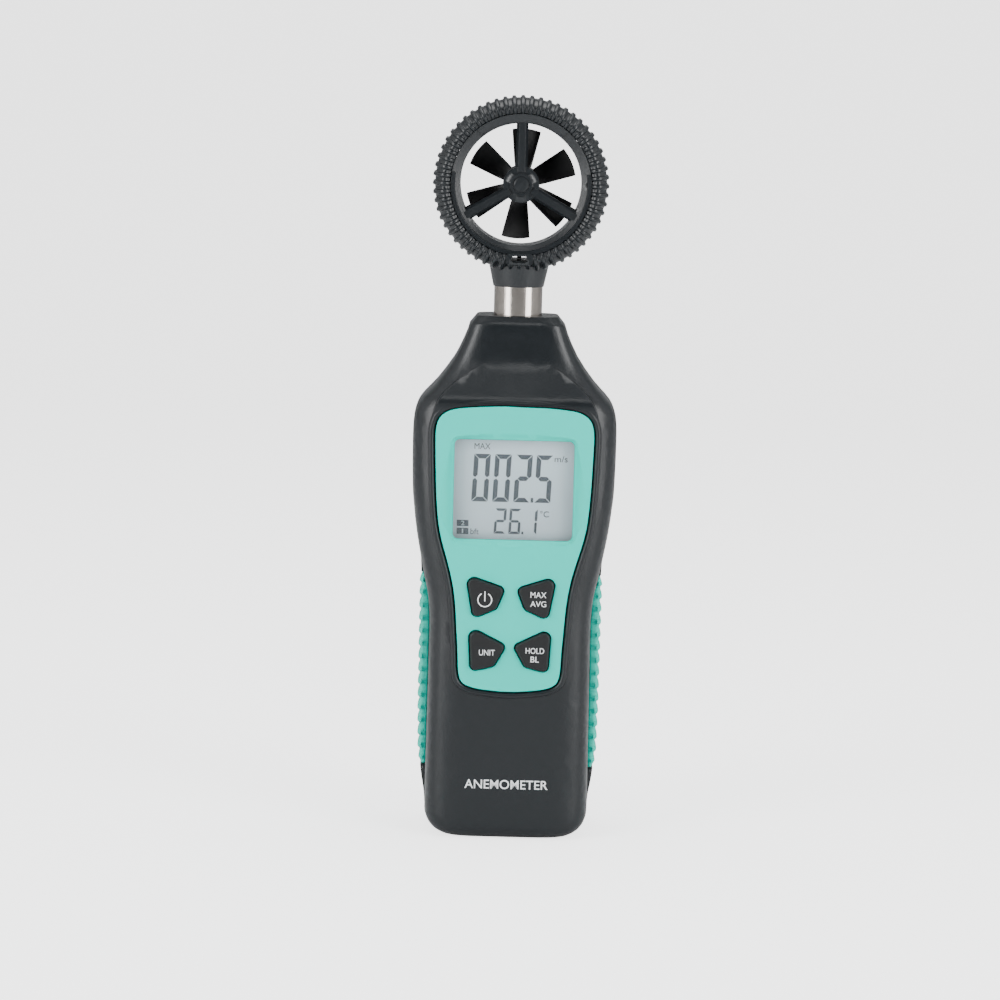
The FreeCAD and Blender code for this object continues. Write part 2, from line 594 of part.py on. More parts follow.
def thermistor_slot(half_width=1.8, half_height=0.7):
    return box(-half_width, half_width, -12, 12, RING_Z - 17.0 - half_height, RING_Z - 17.0 + half_height)


def head_core():
    """The vane's throat and the tapered stem that takes the neck tube, moulded as one."""
    high = 141.5
    stem = Part.makeCone(stem_radius(STEM_LOW), stem_radius(high), high - STEM_LOW, Vector(0, 0, STEM_LOW))
    stem = stem.common(box(-20, 20, -7.05, 7.05, 120, 150))
    seats = [vane_disc(GUARD_RADIUS + 0.03, sign * THROAT_HALF, sign * 9.0) for sign in (-1, 1)]
    stem = stem.cut([rod(THROAT_WALL_RADIUS, (0, -20, RING_Z), (0, 20, RING_Z))] + seats)
    throat = vane_disc(THROAT_WALL_RADIUS + 0.02, -THROAT_HALF, THROAT_HALF, THROAT_RADIUS)
    solid = stem.fuse(throat)
    solid = solid.cut(rod(TUBE_RADIUS, (0, 0, 120), (0, 0, TUBE_HIGH)))
    solid = solid.cut(thermistor_slot())
    for sign in (-1, 1):
        eye = about_vane(rod(1.0, (0, 0, RING_Z - 17.4), (0, 0, RING_Z - 10)), sign * 30)
        solid = solid.cut(eye)
    return biggest(solid)


def ring_cover():
    """The ribbed front half of the ring: a hollow shell that overlaps the stem."""
    r, d, seat = RING_RADIUS, RING_HALF_DEPTH, GUARD_RADIUS
    outer = ((seat + 0.1, 0.04), (r, 0.04), (r, 5.0), (r - 0.35, 6.0), (r - 1.3, 7.1), (r - 2.2, d),
             (r - 2.9, d - 0.05), (r - 3.4, 7.25), (seat + 0.1, 7.0))
    hollow = ((seat + 1.0, -0.5), (r - 1.3, -0.5), (r - 1.3, 4.6), (r - 2.4, 6.1), (seat + 1.0, 6.1))
    inner = ((THROAT_WALL_RADIUS + 0.05, 0.04), (seat + 0.3, 0.04), (seat + 0.3, 1.2),
             (THROAT_WALL_RADIUS + 0.05, 1.2))
    shell = vane_revolve(outer).cut(vane_revolve(hollow)).fuse(vane_revolve(inner))
    h = RIB_HEIGHT
    rib = ((r - 1.0, 0.04), (r + h, 0.04), (r + h, 5.1), (r - 0.05, 6.4), (r - 1.05, 7.6), (r - 2.1, d + h),
           (r - 2.9, d + 0.9 * h), (r - 3.45, 7.3), (r - 2.4, 6.6), (r - 1.0, 5.0))
    width = 360 / RIB_COUNT * 0.4
    ribs = [vane_revolve(rib, width, i * 360 / RIB_COUNT - width / 2) for i in range(RIB_COUNT)]
    shell = fuse(shell, *ribs)
    pad = box(-3.4, 3.4, -RING_HALF_DEPTH - 0.25, -5.6, RING_Z - 18.6, RING_Z - 16.5)
    shell = shell.fuse(pad)
    shell = shell.cut(thermistor_slot())
    low = STEM_LOW - 1
    fit = 0.04
    stem = Part.makeCone(stem_radius(low) + fit, stem_radius(142) + fit, 142 - low, Vector(0, 0, low))
    stem = stem.common(box(-20, 20, -7.05 - fit, 7.05 + fit, 120, 150))
    shell = shell.cut(stem)
    for sign in (-1, 1):
        shell = shell.cut(about_vane(rod(1.15, (0, 0, RING_Z - 17.8), (0, 0, RING_Z - 10)), sign * 30))
    return biggest(shell)


def guard():
    """The front spoked guard: seat ring, raised lip, three spokes and the hub that holds the bearing."""
    floor = THROAT_HALF + 0.02
    seat = vane_revolve(((THROAT_RADIUS, floor), (GUARD_RADIUS, floor), (GUARD_RADIUS, 6.55),
                         (THROAT_RADIUS, 5.75)))
    lip = ((15.45, 5.5), (GUARD_RADIUS, 5.5), (GUARD_RADIUS, 7.15), (15.55, 7.05), (15.4, 6.85))
    lower_lip = vane_revolve(lip, 200, 170)
    inside = THROAT_RADIUS + 0.25
    pad = ((inside, 5.5), (GUARD_RADIUS, 5.5), (GUARD_RADIUS, 7.0), (inside, 6.3))
    parts = [lower_lip, vane_revolve(pad, 80, 50)]
    half, near, far = SPOKE_WIDTH / 2, 4.3, 6.0
    profile = ((-half, near), (half, near), (half, far - 0.7), (half - 0.6, far), (-half + 0.6, far),
               (-half, far - 0.7))
    section = [Vector(x, -depth, RING_Z + 3) for x, depth in profile]
    spoke = Part.Face(Part.makePolygon(section + section[:1])).extrude(Vector(0, 0, THROAT_RADIUS - 2.4))
    parts += [about_vane(spoke, angle - 90) for angle in SPOKE_ANGLES]
    parts.append(vane_disc(HUB_RADIUS, 4.0, 5.75))
    parts.append(vane_disc(2.6, 5.5, 6.1))
    solid = fuse(seat, *parts)
    solid = solid.cut([vane_disc(1.96, 3, 7), vane_disc(20, 3, floor, THROAT_RADIUS - 0.03)])
    solid = solid.cut(rod(20, (0, -12, RING_Z), (0, -THROAT_HALF + 0.9, RING_Z)).cut(
        rod(GUARD_RADIUS, (0, -12, RING_Z), (0, 12, RING_Z))))
    return biggest(solid)


def bearing():
    """A jewel bearing in its plug, filling the middle of a guard's hub."""
    plug = vane_disc(1.95, 4.0, 5.9)
    return plug.cut(vane_disc(0.55, 3.0, 5.4))


def blade():
    """One twisted blade pointing along +X from the vane's axis, cut to a round tip."""
    sections = []
    for r in (2.6, 5.2, 7.8, 10.4, 13.6):
        pitch = math.atan2(BLADE_LEAD, r)
        reach = 1.5 + 0.178 * (r - 2.6)          # half of the width seen from the front
        chord = min(reach / math.cos(pitch), 3.8)
        along = Vector(0, math.sin(pitch), math.cos(pitch))
        across = Vector(0, math.cos(pitch), -math.sin(pitch)) * (BLADE_THICKNESS / 2)
        middle = Vector(r, 0, 0)
        a, b = along * chord, along * -chord
        sections.append(Part.makePolygon([middle + a + across, middle + a - across, middle + b - across,
                                          middle + b + across, middle + a + across]))
    solid = loft(sections)
    solid.translate(Vector(0, 0, RING_Z))
    return solid.common(vane_disc(BLADE_TIP, -6, 6))


def impeller():
    hub = vane_disc(3.2, -3.4, 3.4)
    one = blade()
    blades = [about_vane(one, BLADE_PHASE + i * 360 / BLADE_COUNT) for i in range(BLADE_COUNT)]
    solid = fuse(hub, *blades)
    return biggest(solid.cut(vane_disc(0.5, -6, 6)))


def sensor_parts():
    """The optical pair that counts the blades, the air thermistor, their board and the lead."""
    parts = {}
    for sign, name in ((-1, "infrared_emitter"), (1, "infrared_detector")):
        eye = rod(0.95, (0, 0, RING_Z - 17.2), (0, 0, RING_Z - THROAT_RADIUS - 0.1))
        parts[name] = about_vane(eye, sign * 30)
    bead = Part.makeSphere(0.55, Vector(0, 0, RING_Z - 17.05))
    legs = [rod(0.14, (x, 0, RING_Z - 17.69), (x, 0, RING_Z - 17.05)) for x in (-0.25, 0.25)]
    parts["thermistor"] = fuse(bead, *legs)
    parts["sensor_board"] = rod(4.7, (0, 0, 133.6), (0, 0, 134.6))
    parts["sensor_lead"] = rod(1.3, (0, 0.2, 107.6), (0, 0.2, 133.3))
    parts["lead_socket"] = box(-4.2, 4.2, -BOARD_BACK + 0.01, 1.7, 101.5, 107.4)
    return parts


def build():
    """Every node's shape, by name."""
    front_form, rear_form = case_form(FRONT_HALF), case_form(REAR_HALF)
    nodes = {"front_case": front_case(front_form), "rear_case": rear_case(rear_form),
             "face_panel": face_panel(), "battery_door": battery_door(rear_form),
             "left_grip": grip(-1), "right_grip": grip(1), "main_board": main_board()}
    nodes.update(lcd_parts())
    centres = []
    for name, wire in key_wires().items():
        nodes[name], centre = key(wire)
        centres.append(centre)
        pill = rod(1.9, (centre.x, -6.59, centre.z), (centre.x, -4.15, centre.z))
        nodes[name.replace("key", "pill")] = pill
    nodes["keypad_mat"] = keypad_mat(centres)
    nodes["case_screws"], nodes["board_screws"] = screws()
    nodes["controller_chip"] = box(-5, 5, -BOARD_BACK + 0.01, 0.6, 73, 83)
    for index in range(3):
        nodes["cell_%d" % (index + 1)] = cell(index)
    nodes["contact_plates"], nodes["contact_springs"] = battery_contacts()
    nodes["neck_tube"], nodes["tube_clip"], nodes["neck_seal"] = neck_parts()
    nodes["head_core"] = head_core()
    nodes["ring_cover_front"] = ring_cover()
    nodes["ring_cover_rear"] = to_back(nodes["ring_cover_front"])
    nodes["front_guard"] = guard()
    nodes["rear_guard"] = to_back(nodes["front_guard"])
    nodes["front_bearing"] = bearing()
    nodes["rear_bearing"] = to_back(nodes["front_bearing"])
    nodes["impeller"] = impeller()
    nodes["rotor_shaft"] = vane_disc(0.5, -5.3, 5.3)
    nodes.update(sensor_parts())
    return nodes


def main():
    os.makedirs("parts", exist_ok=True)
    for name, shape in build().items():
        state = "" if shape.isValid() else "  NOT VALID"
        print("%-20s %d solid(s) %10.2f mm3%s" % (name, len(shape.Solids), shape.Volume, state))
        shape.exportStep("parts/%s.step" % name)


main()
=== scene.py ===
import json
import math

import bmesh
import bpy
from mathutils import Matrix, Vector
from mathutils.bvhtree import BVHTree


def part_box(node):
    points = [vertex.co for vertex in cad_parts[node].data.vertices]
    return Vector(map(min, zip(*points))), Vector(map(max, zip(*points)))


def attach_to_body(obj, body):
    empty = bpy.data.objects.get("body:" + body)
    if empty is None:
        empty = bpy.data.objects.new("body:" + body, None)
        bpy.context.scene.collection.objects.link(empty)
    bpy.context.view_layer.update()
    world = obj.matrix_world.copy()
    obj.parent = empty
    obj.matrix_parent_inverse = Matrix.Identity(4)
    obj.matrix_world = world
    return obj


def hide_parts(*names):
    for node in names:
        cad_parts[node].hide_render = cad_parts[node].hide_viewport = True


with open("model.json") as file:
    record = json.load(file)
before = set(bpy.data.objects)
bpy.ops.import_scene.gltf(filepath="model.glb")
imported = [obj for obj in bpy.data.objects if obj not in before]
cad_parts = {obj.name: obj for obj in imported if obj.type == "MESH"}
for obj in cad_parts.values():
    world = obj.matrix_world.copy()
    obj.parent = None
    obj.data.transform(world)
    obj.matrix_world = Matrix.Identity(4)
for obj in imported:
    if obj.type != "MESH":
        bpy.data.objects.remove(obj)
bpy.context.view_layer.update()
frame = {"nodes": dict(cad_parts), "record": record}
mm = 0.001
record = frame["record"]
joints = {j["name"]: j for j in record["behaviour"]["joints"]}
bodyOf = {n: b for b, nodes in record["behaviour"]["bodies"].items() for n in nodes}
slotOf = {s["node"]: s["material_slot"] for s in record["subparts"]}
ringCentre = Vector(joints["vane_spin"]["pos_m"])
print("frame loaded")


# node helpers: feeds maps a socket to a value or to another node's output
def addNode(tree, kind, feeds=None, **settings):
    made = tree.nodes.new(kind)
    for key, value in settings.items():
        setattr(made, key, value)
    for key, value in (feeds or {}).items():
        if isinstance(value, bpy.types.NodeSocket):
            tree.links.new(value, made.inputs[key])
        else:
            made.inputs[key].default_value = value
    return made


def calc(tree, operation, *values):
    return addNode(tree, "ShaderNodeMath", dict(enumerate(values)), operation=operation).outputs[0]


def remap(tree, value, low, high, newLow=0.0, newHigh=1.0, curve="SMOOTHSTEP"):
    feeds = {"Value": value, "From Min": low, "From Max": high, "To Min": newLow, "To Max": newHigh}
    return addNode(tree, "ShaderNodeMapRange", feeds, interpolation_type=curve).outputs["Result"]


def newGroup(name, kind, inputs, outputs):
    tree = bpy.data.node_groups.new(name, kind)
    for direction, sockets in (("INPUT", inputs), ("OUTPUT", outputs)):
        for label, socketType, *default in sockets:
            socket = tree.interface.new_socket(
                label, in_out=direction, socket_type="NodeSocket" + socketType)
            if default:
                socket.default_value = default[0]
    return tree, addNode(tree, "NodeGroupInput").outputs, addNode(tree, "NodeGroupOutput")


def closeTree(tree, given, out, geometry):
    # every geometry tree ends in Realize Instances and Set Material
    real = addNode(tree, "GeometryNodeRealizeInstances", {"Geometry": geometry}).outputs[0]
    feeds = {"Geometry": real, "Material": given["Material"]}
    painted = addNode(tree, "GeometryNodeSetMaterial", feeds).outputs[0]
    tree.links.new(painted, out.inputs["Geometry"])
    return tree


# mesh helpers
def meshFrom(bm, name):
    mesh = bpy.data.meshes.new(name)
    bm.to_mesh(mesh)
    bm.free()
    return mesh


def meshObject(name, mesh, material=None):
    made = bpy.data.objects.new(name, mesh)
    bpy.context.scene.collection.objects.link(made)
    if material:
        mesh.materials.clear()
        mesh.materials.append(material)
    return made


def plainMesh(holder):
    # the holder's mesh with its modifiers applied
    depsgraph = bpy.context.evaluated_depsgraph_get()
    mesh = bpy.data.meshes.new_from_object(holder.evaluated_get(depsgraph))
    bpy.data.objects.remove(holder)
    return mesh


def applied(mesh, tree, values):
    # runs a geometry tree on the mesh and gives back the plain result
    holder = meshObject("holder", mesh)
    modifier = holder.modifiers.new("shape", "NODES")
    modifier.node_group = tree
    for item in tree.interface.items_tree:
        if item.item_type == "SOCKET" and item.in_out == "INPUT" and item.name in values:
            modifier[item.identifier] = values[item.name]
    return plainMesh(holder)


def combined(mesh, other, operation):
    # joins or cuts one mesh with another
    piece, tool = meshObject("piece", mesh), meshObject("tool", other)
    modifier = piece.modifiers.new("combine", "BOOLEAN")
    modifier.operation, modifier.solver, modifier.object = operation, "EXACT", tool
    result = plainMesh(piece)
    bpy.data.objects.remove(tool)
    return result


def shaded(mesh, angle):
    mesh.shade_smooth()
    mesh.set_sharp_from_angle(angle=math.radians(angle))
    return mesh


def evened(mesh, style):
    # the large flat faces of a smoothly shaded mesh kept flat
    holder = meshObject("holder", mesh)
    modifier = holder.modifiers.new("even", "WEIGHTED_NORMAL")
    modifier.mode, modifier.weight = "FACE_AREA_WITH_ANGLE", style["flatness"]
    modifier.keep_sharp = True
    return plainMesh(holder)


def attach(piece, node):
    # the piece rides on the node's body
    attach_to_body(piece, bodyOf[node])


def adopt(piece, node):
    # the piece rides on the node's body and stands for the node
    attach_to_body(piece, bodyOf[node])
    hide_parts(node)


def skinOf(node):
    data = frame["nodes"][node].data
    return BVHTree.FromPolygons([v.co for v in data.vertices], [f.vertices for f in data.polygons])


# camera and studio
cameraStyle = {
    "distance": 770 * mm, "elevation": 8.0, "azimuth": 0.0,
    "aim": (-3.1 * mm, 0.0, 79.5 * mm),     # the point in the middle of the picture
    "viewWidth": 238 * mm,                  # width of the picture at that point
    "lean": 1.43,                           # the instrument leans this far clockwise in the picture
    "sensor": 36, "near": 0.01, "far": 20,
}


def makeCamera(style):
    data = bpy.data.cameras.new("camera")
    data.sensor_width = style["sensor"]
    data.lens = style["sensor"] * style["distance"] / style["viewWidth"]
    data.clip_start, data.clip_end = style["near"], style["far"]
    cam = bpy.data.objects.new("camera", data)
    bpy.context.scene.collection.objects.link(cam)
    az, el = math.radians(style["azimuth"]), math.radians(style["elevation"])
    back = Vector((math.sin(az) * math.cos(el), -math.cos(az) * math.cos(el), math.sin(el)))
    turn = (-back).to_track_quat("-Z", "Y").to_matrix().to_4x4()
    roll = Matrix.Rotation(math.radians(style["lean"]), 4, "Z")
    cam.matrix_world = Matrix.Translation(Vector(style["aim"]) + back * style["distance"]) @ turn @ roll
    bpy.context.scene.camera = cam


makeCamera(cameraStyle)

studioStyle = {
    "lamps": {                              # place, size across and up, watts
        "leftSoftbox": ((-0.52, -0.42, 0.20), (0.30, 0.80), 5.6),
        "rightSoftbox": ((0.52, -0.42, 0.20), (0.30, 0.80), 5.6),
        "overhead": ((0.0, 0.05, 0.85), (0.70, 0.50), 4.5),
        "frontFill": ((0.0, -0.95, 1.05), (0.40, 0.30), 2.0),
    },
    "aim": (0, 0, 0.09),
    "skyBright": 1.0, "skyDim": 0.03,       # the sky is bright at the sides and behind, dim elsewhere
    "sides": (0.25, 0.8), "behind": (-0.2, 0.3),
}


def makeStudio(style):
    for name, (place, (across, up), power) in style["lamps"].items():
        data = bpy.data.lights.new(name, "AREA")
        data.shape, data.size, data.size_y, data.energy = "RECTANGLE", across, up, power
        lamp = bpy.data.objects.new(name, data)
        lamp.location = place
        towards = Vector(style["aim"]) - Vector(place)
        lamp.rotation_euler = towards.to_track_quat("-Z", "Y").to_euler()
        bpy.context.scene.collection.objects.link(lamp)
    world = bpy.data.worlds.new("studioWorld")
    bpy.context.scene.world = world
    world.use_nodes = True
    tree = world.node_tree
    tree.nodes.clear()
    direction = addNode(tree, "ShaderNodeTexCoord").outputs["Generated"]
    parts = addNode(tree, "ShaderNodeSeparateXYZ", {0: direction})
    side = remap(tree, calc(tree, "ABSOLUTE", parts.outputs["X"]), *style["sides"])
    behind = remap(tree, parts.outputs["Y"], *style["behind"])
    either = calc(tree, "MAXIMUM", side, behind)
    soft = remap(tree, either, 0.0, 1.0, style["skyDim"], style["skyBright"])
    seen = addNode(tree, "ShaderNodeLightPath").outputs["Is Camera Ray"]
    feeds = {"Factor": seen, "A": soft, "B": style["skyBright"]}
    strength = addNode(tree, "ShaderNodeMix", feeds).outputs[0]
    sky = addNode(tree, "ShaderNodeBackground", {"Color": (1, 1, 1, 1), "Strength": strength}).outputs[0]
    addNode(tree, "ShaderNodeOutputWorld", {"Surface": sky})


floorStyle = {
    "front": -2.5, "back": 0.9, "bend": 0.7, "bendSteps": 16, "top": 3.0, "halfWidth": 3.0,
    "color": (0.76, 0.77, 0.78), "darker": 0.96, "mottle": 3.0, "rough": 0.7, "glow": 2.3,
}


def makeFloor(style):
    # a sheet that runs forward as the floor and curves up behind as the wall
    bm = bmesh.new()
    back, bend, wide = style["back"], style["bend"], style["halfWidth"]
    run = [(style["front"], 0.0), (back, 0.0)]
    for i in range(style["bendSteps"]):
        a = math.pi / 2 * (i + 1) / style["bendSteps"]
        run.append((back + bend * math.sin(a), bend - bend * math.cos(a)))
    run.append((back + bend, style["top"]))
    rows = [[bm.verts.new((x, y, z)) for x in (-wide, wide)] for y, z in run]
    for low, high in zip(rows, rows[1:]):
        bm.faces.new((low[0], low[1], high[1], high[0]))
    mesh = meshFrom(bm, "floor")
    mesh.shade_smooth()
    paint = bpy.data.materials.new("floorPaper")
    paint.use_nodes = True
    tree = paint.node_tree
    coords = addNode(tree, "ShaderNodeTexCoord").outputs["Object"]
    mottle = addNode(tree, "ShaderNodeTexNoise", {"Vector": coords, "Scale": style["mottle"]})
    darker = tuple(style["darker"] * c for c in style["color"]) + (1,)
    feeds = {"Factor": mottle.outputs[0], 6: darker, 7: style["color"] + (1,)}
    blend = addNode(tree, "ShaderNodeMix", feeds, data_type="RGBA")
    shader = tree.nodes["Principled BSDF"]
    tree.links.new(blend.outputs[2], shader.inputs["Base Color"])
    shader.inputs["Roughness"].default_value = style["rough"]
    shader.inputs["Emission Color"].default_value = (1, 1, 1, 1)
    seen = addNode(tree, "ShaderNodeLightPath").outputs["Is Camera Ray"]
    tree.links.new(calc(tree, "MULTIPLY", seen, style["glow"]), shader.inputs["Emission Strength"])
    meshObject("floor", mesh, paint)


makeStudio(studioStyle)
makeFloor(floorStyle)
print("camera and studio ready")


# effects shared by the finishes
def makeGrain():
    tree, given, out = newGroup("fineGrain", "ShaderNodeTree", [
        ("Vector", "Vector"), ("Scale", "Float", 1500.0), ("Coarse Share", "Float", 0.3)],
        [("Height", "Float")])
    fine = addNode(tree, "ShaderNodeTexVoronoi", {"Vector": given["Vector"], "Scale": given["Scale"]},
                   feature="SMOOTH_F1").outputs["Distance"]
    larger = calc(tree, "MULTIPLY", given["Scale"], 0.35)
    coarse = addNode(tree, "ShaderNodeTexNoise", {
        "Vector": given["Vector"], "Scale": larger, "Detail": 3.0}).outputs[0]
    mixed = addNode(tree, "ShaderNodeMix", {"Factor": given["Coarse Share"], "A": fine, "B": coarse})
    tree.links.new(mixed.outputs[0], out.inputs["Height"])
    return tree


def makeTone():
    tree, given, out = newGroup("surfaceTone", "ShaderNodeTree", [
        ("Vector", "Vector"), ("Color", "Color"), ("Patch Scale", "Float", 60.0),
        ("Patch Amount", "Float", 0.1),
        ("Wear", "Float"), ("Wear Color", "Color"), ("Low Roughness", "Float", 0.4),
        ("High Roughness", "Float", 0.5)], [("Color", "Color"), ("Roughness", "Float")])
    patches = addNode(tree, "ShaderNodeTexNoise", {
        "Vector": given["Vector"], "Scale": given["Patch Scale"], "Detail": 5.0, "Roughness": 0.6,
    }).outputs[0]
    lift = calc(tree, "MULTIPLY_ADD", calc(tree, "SUBTRACT", patches, 0.5), given["Patch Amount"], 1.0)
    toned = addNode(tree, "ShaderNodeVectorMath", {0: given["Color"], "Scale": lift}, operation="SCALE")
    worn = addNode(tree, "ShaderNodeMix", {"Factor": given["Wear"], 6: toned.outputs[0],
                                           7: given["Wear Color"]}, data_type="RGBA")
    rough = remap(tree, patches, 0.3, 0.7, given["Low Roughness"], given["High Roughness"], "LINEAR")
    tree.links.new(worn.outputs[2], out.inputs["Color"])
    tree.links.new(rough, out.inputs["Roughness"])
    return tree


def makeWear():
    tree, given, out = newGroup("edgeWear", "ShaderNodeTree", [
        ("Vector", "Vector"), ("Radius", "Float", 0.0004), ("Amount", "Float", 0.3),
        ("Breakup", "Float", 300.0)], [("Mask", "Float"), ("Normal", "Vector")])
    rounded = addNode(tree, "ShaderNodeBevel", {"Radius": given["Radius"]}, samples=4).outputs[0]
    flat = addNode(tree, "ShaderNodeNewGeometry").outputs["Normal"]
    match = addNode(tree, "ShaderNodeVectorMath", {0: rounded, 1: flat}, operation="DOT_PRODUCT")
    edge = remap(tree, match.outputs["Value"], 0.985, 0.80)
    noise = addNode(tree, "ShaderNodeTexNoise", {"Vector": given["Vector"], "Scale": given["Breakup"],
                                                 "Detail": 4.0}).outputs[0]
    broken = remap(tree, noise, 0.40, 0.62)
    mask = calc(tree, "MULTIPLY", calc(tree, "MULTIPLY", edge, broken), given["Amount"])
    tree.links.new(mask, out.inputs["Mask"])
    tree.links.new(rounded, out.inputs["Normal"])
    return tree


grainGroup, toneGroup, wearGroup = makeGrain(), makeTone(), makeWear()

plainFinish = {
    "color": (0.5, 0.5, 0.5), "rough": (0.4, 0.5), "patchScale": 60.0, "patchAmount": 0.15,
    "grainScale": 1500.0, "grainDepth": 0.00002, "grainShare": 0.3, "stretch": (1, 1, 1),
    "wearColor": (0.6, 0.6, 0.6), "wear": 0.25, "edgeRadius": 0.0003, "metallic": 0.0,
    "coat": 0.0, "coatRough": 0.15, "gloss": 0.5,
}


def makeFinish(name, **changes):
    style = dict(plainFinish, **changes)
    material = bpy.data.materials.new(name)
    material.use_nodes = True
    tree = material.node_tree
    shader = tree.nodes["Principled BSDF"]
    coords = addNode(tree, "ShaderNodeTexCoord").outputs["Object"]
    feeds = {"Vector": coords, "Scale": style["stretch"]}
    stretched = addNode(tree, "ShaderNodeMapping", feeds).outputs[0]
    grain = addNode(tree, "ShaderNodeGroup", {
        "Vector": stretched, "Scale": style["grainScale"], "Coarse Share": style["grainShare"],
    }, node_tree=grainGroup)
    wear = addNode(tree, "ShaderNodeGroup", {
        "Vector": coords, "Radius": style["edgeRadius"], "Amount": style["wear"],
    }, node_tree=wearGroup)
    tone = addNode(tree, "ShaderNodeGroup", {
        "Vector": stretched, "Color": style["color"] + (1,), "Wear": wear.outputs["Mask"],
        "Patch Scale": style["patchScale"], "Patch Amount": style["patchAmount"],
        "Wear Color": style["wearColor"] + (1,), "Low Roughness": style["rough"][0],
        "High Roughness": style["rough"][1],
    }, node_tree=toneGroup)
    bump = addNode(tree, "ShaderNodeBump", {
        "Height": grain.outputs["Height"], "Distance": style["grainDepth"], "Strength": 1.0,
        "Normal": wear.outputs["Normal"]})
    tree.links.new(tone.outputs["Color"], shader.inputs["Base Color"])
    tree.links.new(tone.outputs["Roughness"], shader.inputs["Roughness"])
    tree.links.new(bump.outputs[0], shader.inputs["Normal"])
    shader.inputs["Metallic"].default_value = style["metallic"]
    shader.inputs["Coat Weight"].default_value = style["coat"]
    shader.inputs["Coat Roughness"].default_value = style["coatRough"]
    shader.inputs["Specular IOR Level"].default_value = style["gloss"]
    return material


